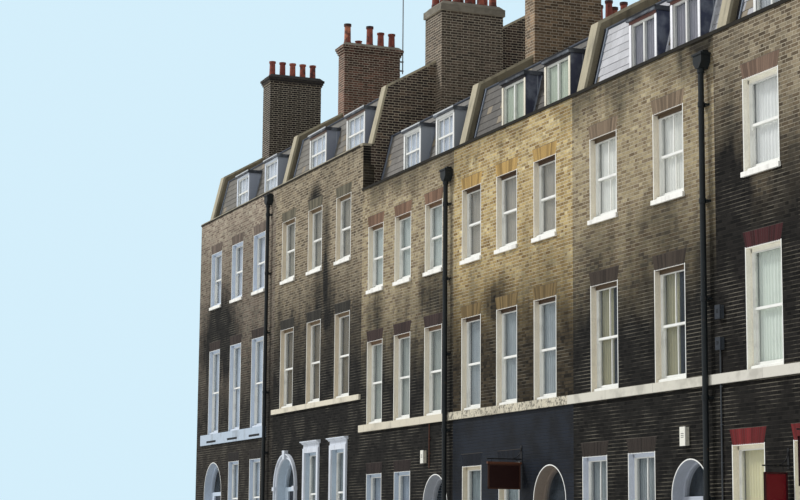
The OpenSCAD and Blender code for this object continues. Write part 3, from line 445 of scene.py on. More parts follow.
class Pile:
    """Many small solids gathered into one joined mesh, each with its own tint."""

    def __init__(self, name, material):
        self.name, self.material = name, material
        self.points, self.faces, self.tints = [], [], []

    def loft(self, ring, other, tint):
        """Solid between two rings of the same number of points."""
        first, count = len(self.points), len(ring)
        self.points += [tuple(p) for p in ring] + [tuple(p) for p in other]
        self.tints += [tint] * (2 * count)
        self.faces.append(tuple(first + k for k in reversed(range(count))))
        self.faces.append(tuple(first + count + k for k in range(count)))
        for k in range(count):
            n = (k + 1) % count
            self.faces.append((first + k, first + n, first + count + n, first + count + k))

    def across(self, outline, y, tint):
        """Plate with an outline of points (x, z), between two places across the row."""
        self.loft([(a, y[0], b) for a, b in outline], [(a, y[1], b) for a, b in outline], tint)

    def lengthwise(self, outline, x, tint):
        """Bar along the row with a section of points (y, z)."""
        self.loft([(x[0], *p) for p in outline], [(x[1], *p) for p in outline], tint)

    def box(self, x, y, z, tint):
        (x0, x1), (y0, y1) = x, sorted(y)
        ring = [(x0, y0), (x1, y0), (x1, y1), (x0, y1)]
        self.loft([(a, b, z[0]) for a, b in ring], [(a, b, z[1]) for a, b in ring], tint)

    def rod(self, start, end, radius, sides, tint):
        start, end = Vector(start), Vector(end)
        axis = (end - start).normalized()
        u = axis.orthogonal().normalized()
        v = axis.cross(u)
        turn = [2 * math.pi * k / sides for k in range(sides)]
        rings = [[p + u * math.cos(t) * radius + v * math.sin(t) * radius for t in turn]
                 for p in (start, end)]
        self.loft(*rings, tint)

    def slope(self, x, low, high, lift, tint):
        """Strip up a slope between two points (y, z), at two heights above it at its foot and its head."""
        run, rise = high[0] - low[0], high[1] - low[1]
        length = math.hypot(run, rise)
        side = 1 if run > 0 else -1
        normal = (-rise / length * side, abs(run) / length)
        outline = [(end[0] + normal[0] * amount, end[1] + normal[1] * amount)
                   for end, amounts in zip((low, high), lift) for amount in amounts]
        self.lengthwise([outline[k] for k in (0, 1, 3, 2)], x, tint)

    def make(self, bevel=0.0, smooth=False):
        mesh = bpy.data.meshes.new(self.name)
        mesh.from_pydata(self.points, [], self.faces)
        tints = mesh.color_attributes.new("tint", "FLOAT_COLOR", "POINT")
        tints.data.foreach_set("color", [c for t in self.tints for c in t])
        work = bmesh.new()
        work.from_mesh(mesh)
        bmesh.ops.recalc_face_normals(work, faces=work.faces)
        work.to_mesh(mesh)
        work.free()
        if smooth:
            mesh.shade_smooth()
        mesh.materials.append(self.material)
        made = bpy.data.objects.new(self.name, mesh)
        bpy.context.scene.collection.objects.link(made)
        if bevel:
            edge = made.modifiers.new("edge", "BEVEL")
            edge.width, edge.segments, edge.limit_method = bevel, 1, "ANGLE"
        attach(made, "root")
        return made


def dress(material, *nodes):
    """Gives CAD nodes their material."""
    for node in nodes:
        slots = NODES[node].data.materials
        slots.clear()
        slots.append(material)


# Paint of the reveals of each house: upper storeys, ground floor, doorway
CREAM, BONE, EDGE_WHITE = shades((230, 222, 204), (212, 203, 182), (236, 236, 230))
REVEALS = [
    shades((206, 216, 228), (196, 208, 222), (190, 202, 216)),
    shades((216, 204, 182), (190, 204, 216), (186, 200, 212)),
    [CREAM, *shades((188, 200, 212), (172, 176, 182))],
    [CREAM, BONE, srgb(138, 127, 116)],
    [CREAM, *shades((206, 212, 222), (176, 182, 192))],
    [*shades((244, 240, 226), (236, 230, 212)), CREAM],
]
# Painted shade on the soffits and frame heads of the upper windows of houses 2 to 5, which stand in shadow
SOFFIT_SHADE = [None, *shades((128, 110, 86), (122, 98, 76), (84, 66, 50), (98, 82, 64)), None]

# Mortar and soot
GREY_MORTAR, PALE_MORTAR, DARK_MORTAR, SOOT, TAR = shades(
    (178, 168, 148), (196, 186, 162), (86, 82, 72), (21, 20, 18), (16, 22, 31))


def dress_walls():
    """Brickwork of each house: its bricks, then its soot by height and its own stains."""
    yellow_brown = shades((108, 92, 70), (134, 119, 92), (152, 138, 108), (170, 155, 120), (124, 108, 86),
                          (184, 170, 136))
    grey_brown = shades((78, 68, 54), (112, 98, 78), (136, 122, 98), (150, 138, 114), (98, 86, 70),
                        (164, 150, 124))
    ochre = shades((124, 100, 62), (152, 128, 82), (174, 150, 100), (194, 172, 120), (140, 118, 78),
                   (208, 190, 142))
    red_brown = shades((106, 92, 80), (132, 116, 102), (154, 140, 124), (170, 158, 138), (118, 102, 90),
                       (182, 172, 152))
    p = PARTY
    looks = [
        brickwork("brick_1", red_brown, SOOT, GREY_MORTAR,
                  [(0, 1), (4.4, .95), (5.5, .98), (7.4, .78), (8.6, .58), (9.8, .48), (11.0, .36),
                   (12.0, .04), (12.6, 0)],
                  [(p[0] + 2.2, 8.4, 2.0, 1.6, .5)]),
        brickwork("brick_2", grey_brown, SOOT, GREY_MORTAR,
                  [(0, 1), (6.2, 1), (7.6, .82), (8.6, .38), (9.6, .1), (11.6, .05), (12.1, .3)],
                  [(p[1] + 3.6, 11.3, .55, .5, .95), (p[1] + 4.6, 9.9, .35, 1.5, .7),
                   (p[1] + 4.2, 8.5, 1.2, 1.0, .5)], end=0.75),
        brickwork("brick_3", yellow_brown, SOOT, GREY_MORTAR,
                  [(0, 1), (5.6, 1), (6.6, .85), (7.2, .55), (8.0, .25), (8.6, .08), (10.3, .05),
                   (10.7, .4), (11, .6)],
                  [(p[2] + 1.2, 7.6, .7, .6, .4), (p[2] + 4.9, 7.8, .9, .8, .5)]),
        brickwork("brick_4", ochre, srgb(50, 43, 31), PALE_MORTAR,
                  [(0, 1), (4.6, 1), (5.8, 1), (6.6, .86), (7.2, .56), (7.9, .2), (8.6, .0), (10.5, .0),
                   (10.8, .35)],
                  [(p[3] + 2.6, 7.2, .8, .5, .4)], painted=(BAND_TOP - 0.1, TAR)),
        brickwork("brick_5", yellow_brown, SOOT, GREY_MORTAR,
                  [(0, 1), (6.0, 1), (6.8, .88), (7.6, .6), (8.4, .15), (10.2, .05), (10.6, .4),
                   (10.9, .65)],
                  [(p[4] + 5.0, 10.7, 1.3, .5, .3)]),
        brickwork("brick_6", grey_brown, srgb(23, 21, 19), GREY_MORTAR,
                  [(0, 1), (7.0, 1), (7.8, .92), (8.6, .6), (9.6, .3), (10.4, .08), (10.9, .15)],
                  [(p[5] + .5, 9.0, .9, 2.2, .3), (p[5] + 4.4, 10.0, 1.6, 1.8, -.4)]),
    ]
    for n, look in enumerate(looks, 1):
        dress(look, f"ground_wall_{n}", f"front_wall_{n}")
    dress(brickwork("brick_rear", grey_brown, SOOT, GREY_MORTAR,
                    [(0, .5), (3, .3), (6, .2), (9, .1), (12, .2), (12.6, .4)]), "rear_wall")


def stone(name, colour, amount=0.5, roughness=0.8):
    """Stone or painted render with flakes and with stains that run down."""
    look = Look(name)
    dirt = srgb(86, 82, 74)
    runs = look.drawn_out(7.0, 7.0, 0.9)
    flakes = look.steps(look.noise(26.0, 5.0), 0.60, 0.66)
    shade = look.mix(look.times(look.steps(runs, 0.45, 0.75), amount), colour, dirt)
    shade = look.mix(look.times(flakes, 0.35 * amount), shade, dirt)
    shade = look.uneven(0.3, shade, look.noise(60.0, 3.0), 0.7, 1.3)
    look.bump(look.noise(80.0, 4.0), 0.002)
    return look.finish(shade, roughness)


def lead(name, colour, seam=0.0):
    """Dull lead with pale bloom, in one colour or a list by house, and a raised seam every seam metres."""
    look = Look(name)
    if isinstance(colour, list):
        colour = by_house(look, colour)
    bloom = look.steps(look.noise(3.0, 5.0), 0.45, 0.7)
    shade = look.mix(look.times(bloom, 0.5), colour, srgb(150, 158, 168))
    shade = look.uneven(0.3, shade, look.noise(30.0, 3.0), 0.7, 1.3)
    if seam:
        ridge = look.lines(look.y, seam, 0.03 / seam)
        shade = look.mix(look.times(ridge, 0.45), shade, srgb(178, 186, 194))
        look.bump(ridge, 0.008, 0.8)
    look.bump(look.noise(9.0, 3.0), 0.004)
    return look.finish(shade, 0.5, Metallic=0.25)


def party_look():
    """Party walls: brick where a tall house ends over a low roof, olive render on the other upstands."""
    look = Look("party_brick")
    number, joint, _ = brick_cells(look)
    tones = shades((30, 23, 20), (50, 38, 32), (66, 51, 42), (90, 72, 58))
    brick = look.ramp(number, list(zip((0, 0.5, 0.85, 1), tones)))
    brick = look.mix(joint, brick, look.mix(look.noise(4.0, 3.0), srgb(124, 112, 92), srgb(216, 204, 180)))
    look.bump(look.times(joint, -1.0), 0.006, 0.9)
    render = look.mix(look.noise(1.4, 5.0), srgb(92, 85, 68), srgb(146, 136, 112))
    runs = look.steps(look.drawn_out(6, 6, 0.8), 0.5, 0.75)
    render = look.mix(look.times(runs, 0.6), render, srgb(60, 56, 46))
    step = look.inside((PARTY[2] - 0.3, None, None), (PARTY[2] + 0.3, None, None))
    outer = look.add(look.under(look.x, PARTY[0]), look.over(look.x, PARTY[6]), clamp=True)
    return look.finish(look.mix(look.add(step, outer, clamp=True), render, brick), 0.9)


# Brick of the stacks along the row, at their places from left to right
STACK_BRICK = shades((50, 38, 34), (132, 92, 76), (102, 88, 74), (134, 110, 84), (116, 92, 72),
                     (112, 88, 70), (112, 88, 70))


def stack_look():
    """Sooty brick of each stack in its own tone, under grey cement."""
    look = Look("stack_brick")
    number, joint, _ = brick_cells(look)
    ends = [p - 1.0 for p in PARTY]
    brick = look.along(look.x, ends[0], PARTY[6] + 1.0, list(zip(ends, STACK_BRICK)), constant=True)
    spread = look.ramp(number, [(0, 0.30), (0.4, 0.5), (0.8, 0.72), (1, 1.0)])
    brick = look.mix(1.0, brick, spread, "MULTIPLY")
    top = look.steps(look.add(look.z, look.times(look.noise(1.6, 3.0), 1.6)), 15.4, 17.4, 1.0, 0.55)
    brick = look.mix(1.0, brick, look.ramp(top, [(0, 0.0), (1, 1.0)]), "MULTIPLY")
    # Painted light: faces toward the street are made half as light again, as if the key lights them.
    street = look.under(look.ny, -0.5)
    brick = look.mix(1.0, brick, look.ramp(street, [(0, 1.0), (1, 1.5)]), "MULTIPLY")
    brick = look.uneven(0.7, brick, look.noise(14.0, 4.0), 0.3, 1.7)
    pale = look.mix(look.noise(5.0, 3.0), srgb(120, 110, 92), srgb(214, 204, 182))
    colour = look.mix(joint, brick, pale)
    cement = look.mix(look.noise(6.0, 4.0), srgb(84, 80, 70), srgb(146, 138, 122))
    sooty_head = look.inside((None, None, STACK_HEADS[0] - 0.26), (PARTY[0] + 1.0, None, None))
    cement = look.mix(sooty_head, cement, srgb(36, 33, 31))
    colour = look.mix(look.times(sooty_head, 0.85), colour, srgb(30, 27, 26))
    cap = look.inside((PARTY[2] - 1.0, None, STACK_CAP_FOOT), (PARTY[2] + 1.0, None, None))
    flat = look.over(look.nz, 0.3)
    colour = look.mix(look.add(flat, cap, clamp=True), colour, cement)
    look.bump(look.add(look.times(joint, -1.0), look.times(look.noise(80.0, 3.0), 0.4)), 0.006, 0.9)
    return look.finish(colour, 0.92)


def band_look():
    """Painted bands: blue-white on house 1, cream on the others, flaking most on house 4."""
    look = Look("band_paint")
    shade = by_house(look, shades((174, 188, 202), (214, 206, 186), (206, 198, 178), (200, 192, 170),
                                  (204, 200, 186), (206, 202, 190)))
    peeling = look.inside((PARTY[3] - HALF_PARTY, None, None), (PARTY[4], None, None))
    flakes = look.add(look.noise(16.0, 6.0, roughness=0.7), look.times(peeling, 0.09))
    worn = look.times(look.steps(flakes, 0.60, 0.66), look.choose(peeling, 0.15, 0.8))
    shade = look.mix(worn, shade, srgb(74, 70, 62))
    shade = look.mix(look.times(look.lines(look.x, 1.9, 0.004), 0.7), shade, srgb(60, 56, 50))
    return look.finish(wear(look, shade, amount=0.35, scale=2.0), 0.7)


def coping_look():
    """Coping stones: a pale top edge over a black line, soot with painted shadow under the overhang, and all
    black on the low houses.
    """
    look = Look("coping_stone")
    foot = look.choose(look.over(look.x, PARTY[2]), max(COPING), COPING_LOW)
    rise = look.minus(look.z, foot)
    tone = look.mix(look.noise(3.0, 5.0), srgb(112, 106, 92), srgb(186, 178, 156))
    wander = look.times(look.add(look.noise(5.0, 3.0), -0.5), 0.02)
    # Black lower band: soot with painted shadow under the coping's overhang; on the low houses it covers the
    # whole coping.
    black = look.steps(look.add(rise, wander), 0.036, 0.050, 1.0, 0.0)
    black = look.math("MAXIMUM", black, look.over(look.x, PARTY[2] + HALF_PARTY))
    shade = look.mix(look.times(black, 0.95), tone, srgb(20, 19, 18))
    shade = look.mix(look.times(look.lines(look.x, 0.9, 0.008), 0.6), shade, srgb(50, 46, 42))
    look.bump(look.noise(60.0, 4.0), 0.002)
    return look.finish(shade, 0.85, Specular_IOR_Level=0.1)


def terracotta_look():
    """Unglazed red pots, sooty in patches and at their tops and feet, and ridge tiles with their joints."""
    look = Look("terracotta")
    cell = [look.math("FLOOR", look.times(*pair)) for pair in ((look.x, 2.0), (look.y, 2.7))]
    pot = look.chance(*cell)
    tones = shades((104, 52, 44), (132, 66, 54), (156, 84, 66), (186, 116, 88))
    clay = look.ramp(pot, list(zip((0, 0.4, 0.8, 1), tones)))
    smoke = look.steps(look.add(look.noise(6.0, 4.0), look.times(pot, 0.16)), 0.54, 0.76)
    clay = look.mix(look.times(smoke, 0.75), clay, srgb(40, 32, 32))
    head = STACK_HEADS[0]
    for left, right, level in zip(PARTY, PARTY[1:], STACK_HEADS[1:]):
        head = look.choose(look.over(look.x, (left + right) / 2), head, level)
    rise = look.minus(look.z, head)
    rim = look.add(look.steps(rise, 0.52, 0.60), look.steps(rise, 0.0, 0.10, 0.5, 0.0), clamp=True)
    clay = look.mix(look.times(rim, 0.85), clay, srgb(30, 26, 27))
    line = look.times(look.lines(look.x, 0.45, 0.03), look.under(look.z, RIDGE_TOP + 0.05))
    clay = look.mix(line, clay, srgb(80, 74, 66))
    look.bump(look.noise(70.0, 3.0), 0.0015, 0.7)
    return look.finish(clay, 0.85)


def glass_look():
    """Old window glass, nearly clear and a little wavy, with a blue-grey painted reflection of the sky."""
    look = Look("pane_glass")
    # The blue-grey colour is a painted reflection of sky haze, not a tint of the glass.
    shade = look.mix(look.noise(1.2, 2.0), srgb(70, 80, 90), srgb(130, 146, 160))
    look.bump(look.noise(2.2, 2.0), 0.004, 0.5)
    return look.finish(shade, 0.04, Alpha=0.11, Specular_IOR_Level=0.7)


def boards_look():
    """Bare floorboards along the row."""
    look = Look("floorboards")
    board_w = 0.15
    number = look.chance(look.math("FLOOR", look.divide(look.y, board_w)))
    shade = look.mix(number, srgb(128, 96, 62), srgb(164, 128, 86))
    shade = look.uneven(0.5, shade, look.drawn_out(2.0, 40.0, 40.0), 0.6, 1.3)
    return look.finish(look.mix(look.lines(look.y, board_w, 0.03), shade, srgb(40, 30, 22)), 0.7)


def iron_look():
    """Painted iron pipes, near black with some rust."""
    look = Look("pipe_paint")
    shade = look.mix(look.noise(3.0, 4.0), srgb(12, 17, 19), srgb(30, 37, 40))
    rust = look.steps(look.noise(7.0, 5.0), 0.64, 0.74)
    shade = look.mix(look.times(rust, 0.4), shade, srgb(84, 66, 50))
    look.bump(look.noise(50.0, 3.0), 0.0015)
    return look.finish(shade, 0.5, Specular_IOR_Level=0.3)


def box_look():
    """Pale plastic boxes, and dark ones on house 6."""
    look = Look("box_shell")
    shade = look.mix(look.over(look.x, PARTY[5]), srgb(212, 208, 190), srgb(56, 62, 68))
    return look.finish(wear(look, shade, amount=0.3, scale=12.0), 0.5)


def door_look():
    """Gloss door paint with a brass knob."""
    look = Look("door_gloss")
    grain = look.drawn_out(60, 60, 5.0, 3.0)
    shade = look.mix(grain, srgb(16, 18, 24), srgb(34, 38, 48))
    knob = look.under(look.y, FACE + 0.285)
    look.bump(grain, 0.001, 0.5)
    return look.finish(look.mix(knob, shade, srgb(190, 150, 80)), 0.3, Metallic=knob)


def sash_look():
    """White gloss paint, a little stained and uneven."""
    look = Look("white_gloss")
    look.bump(look.noise(60.0, 3.0), 0.0006)
    return look.finish(wear(look, EDGE_WHITE, amount=0.2), 0.45)


def frame_look():
    """Paint of the door frames, as the doorway of each house."""
    look = Look("frame_paint")
    return look.finish(wear(look, by_house(look, [r[2] for r in REVEALS]), amount=0.2), 0.5)


def dress_the_rest():
    """Materials of all CAD nodes but the brick walls."""
    dress(sash_look(), "ground_windows", "first_windows", "second_windows", "rear_windows", "dormer_windows")
    dress(frame_look(), "door_posts", "door_heads")
    dress(stone("surround_stone", srgb(208, 214, 222), 0.3, 0.6), "stone_surrounds")
    dress(stone("sill_paint", srgb(244, 242, 234), 0.25, 0.6), "window_sills")
    dress(band_look(), "sill_bands")
    dress(stone("step_stone", srgb(168, 164, 154)), "door_steps")
    dress(coping_look(), "parapet_copings")
    dress(stone("strip_render", srgb(172, 163, 138), 0.55), "party_copings")
    dress(stone("arch_mortar", srgb(66, 58, 50), 0.6), "flat_arches")
    cheeks = shades((158, 166, 180), (138, 144, 158), (156, 162, 170), (70, 74, 92), (62, 68, 90),
                    (70, 76, 92))
    dress(lead("lead_cheeks", cheeks, seam=0.42), "dormer_boxes")
    dress(lead("lead_roofs", srgb(52, 56, 62)), "dormer_roofs")
    dress(party_look(), "party_walls")
    dress(stack_look(), "chimney_stacks")
    dress(terracotta_look(), "chimney_pots", "ridge_tiles")
    dress(stone("slate_bed", srgb(74, 76, 78)), "mansard_slopes", "upper_slopes", "rear_upper_slopes")
    dress(glass_look(), "front_glass", "rear_glass", "fanlights")
    dress(boards_look(), "ground_floors", "first_floors", "second_floors", "attic_floors")
    dress(iron_look(), "downpipes")
    dress(lead("mast_metal", srgb(120, 122, 124)), "aerial_mast")
    dress(box_look(), "wall_boxes")
    dress(door_look(), *[f"front_door_{n}" for n in range(1, 7)])


UPPER_FROM = 4.0    # windows that start above this height are on the upper storeys
SURROUNDED = 1      # the house whose doorway has the stone surround, and so no painted edge


def window_linings(pile):
    """Linings of the reveals, facings of the frames and the edge on the wall, each on three sides."""
    for house, side, low, high in GROUND + FIRST + SECOND + REAR_WINDOWS:
        upper = low.z > UPPER_FROM
        tint = REVEALS[house][0 if upper else 1]
        # On houses 2 to 5 the soffit lining and the head facing of the box frame are painted shade, dark
        # brown, which hides the white head of the frame.
        above = SOFFIT_SHADE[house] if upper and SOFFIT_SHADE[house] else tint
        for width, head, depths, colour, over in (
                (PAINT, PAINT, (0, REVEAL), tint, above),
                (BOX_FACE, HEAD_FACE, (REVEAL - PAINT, REVEAL), tint, above),
                (-EDGE_W, -EDGE_W, EDGE, EDGE_WHITE, EDGE_WHITE)):
            y = span(side, *depths)
            for x in ([low.x, low.x + width], [high.x - width, high.x]):
                pile.box(sorted(x), y, [low.z, max(high.z, high.z - head)], colour)
            pile.box([low.x, high.x], y, sorted((high.z - head, high.z)), over)


def door_linings(pile):
    """Linings of the doorways, and the edge painted round them."""
    for house, (low, high, foot) in enumerate(DOORWAYS):
        middle, radius = (low.x + high.x) / 2, (high.x - low.x) / 2
        spring = high.z - radius
        turn = [math.pi * k / ARCH_STEPS for k in range(ARCH_STEPS + 1)]
        arch = [(middle + radius * math.cos(t), spring + radius * math.sin(t)) for t in turn]
        outline = [(high.x, foot)] + arch + [(low.x, foot)]
        linings = [(-PAINT, [FACE, low.y], REVEALS[house][2])]
        if house != SURROUNDED:
            linings.append((EDGE_W, span(STREET, *EDGE), EDGE_WHITE))
        for width, y, colour in linings:
            scale = 1 + width / radius
            moved = [(middle + (x - middle) * scale, z if z <= spring else spring + (z - spring) * scale)
                     for x, z in outline]
            for k in range(len(outline) - 1):
                pile.across([outline[k], outline[k + 1], moved[k + 1], moved[k]], y, colour)


def reveals():
    """Painted linings and edges of all windows and doorways."""
    pile = Pile("reveal_linings", tinted("reveal_paint", 0.55, 30.0, 0.0008))
    window_linings(pile)
    door_linings(pile)
    pile.make()


# Brick of the flat arches of each house: ground, first and second storey
ARCH_BRICK = [
    shades((38, 35, 33), (54, 46, 42), (106, 94, 84)),
    shades((36, 34, 31), (48, 46, 41), (100, 95, 80)),
    shades((42, 34, 32), (56, 44, 41), (120, 94, 76)),
    shades((16, 22, 31), (112, 94, 62), (168, 138, 84)),
    shades((44, 38, 34), (58, 50, 43), (120, 104, 86)),
    shades((104, 32, 34), (62, 28, 30), (112, 92, 78)),
]
REAR_BRICK = srgb(132, 96, 74)
ARCH_STOREYS = (4.5, 8.3)   # heights that part the arches of the three storeys


def varied(colour, spread=0.34):
    """A colour a little lighter or darker, from the seeded numbers."""
    return scaled(colour, 1 + RANDOM.uniform(-spread, spread))


def flat_arch_bricks():
    """Splayed bricks over each window, a hair proud of the arch behind them."""
    pile = Pile("arch_bricks", tinted("arch_brick", 0.9, 60.0, 0.002))
    for points, house, side, low, high in pieces("flat_arches"):
        foot = [p.x for p in points if p.z < low.z + 0.01]
        storey = sum(low.z >= height for height in ARCH_STOREYS)
        brick = ARCH_BRICK[house][storey] if side == STREET else REAR_BRICK
        count = round((high.x - low.x) / VOUSSOIR) // 2 * 2 + 1
        bottom, top = low.z + ARCH_JOINT, high.z - ARCH_JOINT
        for k in range(count):
            a, b = k / count, (k + 1) / count
            (x0, x1), (x2, x3) = [
                (start + (stop - start) * a + ARCH_JOINT / 2, start + (stop - start) * b - ARCH_JOINT / 2)
                for start, stop in ((min(foot), max(foot)), (low.x, high.x))]
            outline = [(x0, bottom), (x1, bottom), (x3, top), (x2, top)]
            pile.across(outline, span(side, -0.002, 0.01), varied(brick))
    pile.make()


BARRED = 4          # the house whose street windows have a glazing bar in each sash


def sash_details():
    """Timber sills, deep bottom rails, horns and glazing bars of the sash windows."""
    pile = Pile("sash_details", tinted("sash_paint", 0.4, 40.0, 0.0005))
    centre = REVEAL + SASH_PLANE
    for house, side, low, high in GROUND + FIRST + SECOND + REAR_WINDOWS:
        tint = srgb(240, 240, 234) if house else srgb(214, 222, 232)
        middle = (low.z + high.z) / 2
        front, back = span(side, REVEAL - SILL_OUT, REVEAL + 0.01)
        sill = [(front, low.z), (back, low.z), (back, low.z + SILL_BACK), (front, low.z + SILL_FRONT)]
        pile.lengthwise(sill, [low.x + 0.004, high.x - 0.004], tint)
        inner = [low.x + FRAME_W, high.x - FRAME_W]
        pile.box(inner, span(side, centre - 0.002, centre + SASH_T + 0.002),
                 [low.z + FRAME_W, low.z + FRAME_W + RAIL_W], tint)
        foot, top = middle - HORN, middle - SASH_W / 2 + 0.002
        depth = centre - SASH_T + 0.003
        for start, mirrored in ((inner[0], False), (inner[1] - SASH_W, True)):
            horn = [(start, foot + 0.03), (start + SASH_W * 0.45, foot), (start + SASH_W, foot + 0.05),
                    (start + SASH_W, top), (start, top)]
            if mirrored:
                horn = [(2 * start + SASH_W - a, b) for a, b in reversed(horn)]
            pile.across(horn, span(side, depth, depth + SASH_T - 0.006), tint)
        if house == BARRED and side == STREET:
            half = (low.x + high.x) / 2
            x = [half - BAR_HALF, half + BAR_HALF]
            pile.box(x, span(side, centre - SASH_T + 0.004, centre - 0.004),
                     [middle, high.z - FRAME_W - SASH_W], tint)
            pile.box(x, span(side, centre + 0.004, centre + SASH_T - 0.004),
                     [low.z + FRAME_W + 0.09, middle], tint)
    pile.make(bevel=0.002)


# Colour of the nets of each house: ground, first and second storey, dormers
NETS = [
    shades((190, 204, 218), (208, 220, 232), (212, 220, 230), (244, 249, 254)),
    shades((156, 166, 168), (134, 124, 102), (172, 168, 154), (236, 244, 254)),
    shades((156, 168, 180), (174, 180, 172), (206, 214, 208), (232, 240, 250)),
    shades((136, 148, 148), (172, 180, 182), (186, 180, 166), (212, 222, 202)),
    shades((150, 158, 158), (170, 165, 132), (252, 252, 244), (160, 158, 166)),
    shades((232, 226, 186), (236, 244, 232), (253, 254, 250), (206, 210, 212)),
]
# Share of the window that a net covers from the left, where it isn't all of it, by house and storey
NET_SHARE = {(1, 0): 0.8, (4, 0): 0.6, (4, 1): 0.5}


def hang_net(pile, low, high, share, tint, length):
    """One wavy net behind a window. Gives the length so far with its wavy line added, and its drop."""
    a, b = low.x + 0.006, low.x + (high.x - low.x) * share - 0.006
    foot, head = low.z + 0.05, high.z - 0.05
    behind = high.y - FACE + PLEAT_DEPTH + 0.004
    count = max(8, round((b - a) / PLEAT * NET_STEPS))
    first = len(pile.points)
    last = None
    for k in range(count + 1):
        x = a + (b - a) * k / count
        swing = math.sin(2 * math.pi * k / NET_STEPS + 0.8 * math.sin(k * 0.13 + low.x))
        y = FACE + (behind + PLEAT_DEPTH * swing)
        pile.points += [(x, y, foot), (x, y, head)]
        pile.tints += [tint] * 2
        if last:
            start = first + 2 * k
            pile.faces.append((start - 2, start, start + 1, start - 1))
            length += math.hypot(x - last[0], y - last[1])
        last = (x, y)
    return length, head - foot


def net_curtains():
    """Gathered nets behind the sashes, one joined piece for each storey of each house."""
    look = tinted("net_cloth", 0.95, 240.0, 0.0004)
    storeys = ((GROUND, "ground_windows"), (FIRST, "first_windows"), (SECOND, "second_windows"),
               (DORMERS, "dormer_windows"))
    for house, tints in enumerate(NETS):
        for storey, (openings, holder) in enumerate(storeys):
            pile = Pile(f"net_{house + 1}_{storey}", look)
            length = 0.0
            share = NET_SHARE.get((house, storey), 1.0)
            for _, _, low, high in [w for w in openings if w[:2] == (house, STREET)]:
                length, drop = hang_net(pile, low, high, share, tints[storey], length)
            pile.make(smooth=True)


def slope_line(points, steep):
    """Foot and head of the outer face of a slope, as points (y, z), on either side of the ridge."""
    side = 1 if sum(p.y for p in points) / len(points) < MIDDLE else -1
    if steep:
        foot = min(points, key=lambda p: (round(p.z, 4), side * p.y))
        head = max(points, key=lambda p: (round(p.z, 4), -side * p.y))
    else:
        foot = min(points, key=lambda p: side * p.y)
        head = max(points, key=lambda p: p.z)
    return (foot.y, foot.z), (head.y, head.z)


def free_spans(x, blocks):
    """What is left of a span when the blocks are taken out of it."""
    spans = [x]
    for a, b in blocks:
        spans = [piece for lo, hi in spans for piece in ((lo, min(hi, a)), (max(lo, b), hi))
                 if piece[1] - piece[0] > NARROWEST]
    return spans


def slate_slope(pile, x, foot, head, blocks, first):
    """Courses of slates up one slope. blocks hold (x0, x1, z0, z1) of what stands in the slates."""
    length = math.hypot(head[0] - foot[0], head[1] - foot[1])
    for row in range(math.ceil(length / GAUGE)):
        low, high = [tuple(foot[k] + (head[k] - foot[k]) * share for k in (0, 1))
                     for share in (row * GAUGE / length, min(1.0, (row + 1) * GAUGE / length))]
        taken = [block[:2] for block in blocks if block[2] < high[1] and block[3] > low[1]]
        start = x[0] - (SLATE_W / 2 if (row + first) % 2 else 0)
        for k in range(math.ceil((x[1] - start) / SLATE_W) + 1):
            lo, hi = max(x[0], start + k * SLATE_W), min(x[1], start + (k + 1) * SLATE_W)
            if hi - lo < NARROWEST:
                continue
            tint = varied(slate_tone(RANDOM.random(), (lo + hi) / 2, low[1]), 0.14)
            lift = SLATE_T + RANDOM.uniform(0.0, 0.003)
            for part in free_spans((lo + SLATE_GAP, hi - SLATE_GAP), taken):
                pile.slope(part, low, high, ((0.001, 0.006 + lift), (0.0005, 0.004)), tint)


# Slates of each house, then its red tiles, odd slates and worn upper slates
SLATES = shades((104, 100, 92), (110, 106, 98), (112, 108, 102), (82, 78, 72), (180, 180, 183),
                (170, 170, 174))
RED_TILE, ODD_SLATE, UPPER_SLATE = shades((134, 84, 66), (132, 120, 100), (138, 138, 140))


def slate_tone(number, x, z):
    """Light grey at the foot of houses 5 and 6, brownish on house 4 with red tiles by its right wall."""
    house = house_at(x)
    high_up = z > COPING_LOW + 1.6
    if house == 3 and high_up and x > PARTY[4] - 2.2 and number < 0.6:
        return RED_TILE
    if number > 0.93:
        return ODD_SLATE
    return UPPER_SLATE if house > 3 and high_up else SLATES[house]


def tall_boxes(side, low, high):
    """Corners of the cheeks of the dormers in one slope, from left to right."""
    return [(a, b) for _, _, there, a, b in DORMER_BOXES
            if there == side and a.x > low.x and b.x < high.x and b.z - a.z > 0.5]


def roofs():
    """Slates on the steep and the upper slopes, clipped round the dormers and the stacks."""
    look = slate_look()
    for name, node in (("mansard_slates", "mansard_slopes"), ("upper_slates", "upper_slopes"),
                       ("rear_upper_slates", "rear_upper_slopes")):
        pile = Pile(name, look)
        steep = node == "mansard_slopes"
        for points, house, side, low, high in pieces(node):
            foot, head = slope_line(points, steep)
            blocks = []
            if steep:
                cheeks = tall_boxes(side, low, high)
                for (a, b), (_, d) in zip(cheeks[::2], cheeks[1::2]):
                    blocks.append((a.x - SLATE_GAP, d.x + SLATE_GAP, a.z - 0.01, b.z + 0.10))
            else:
                for _, _, there, a, b in pieces("chimney_stacks"):
                    if there == side:
                        front, back = sorted((y - foot[0]) / (head[0] - foot[0]) for y in (a.y, b.y))
                        rise = head[1] - foot[1]
                        blocks.append((a.x + 0.04, b.x - 0.04,
                                       foot[1] + rise * front + 0.02, foot[1] + rise * back - 0.01))
            slate_slope(pile, (low.x + SLATE_GAP, high.x - SLATE_GAP), foot, head, blocks, house)
        pile.make()


# Paint of the dormers of each house, then of the head boards of houses 2, 4, 5 and 6
DORMER_PAINT = shades((226, 233, 242), (234, 234, 230), (238, 238, 234), (234, 227, 208), (246, 246, 248),
                      (240, 240, 236))
FASCIA = [DORMER_PAINT[0], srgb(120, 100, 88), DORMER_PAINT[2],
          *shades((44, 40, 40), (108, 72, 64), (70, 60, 58))]


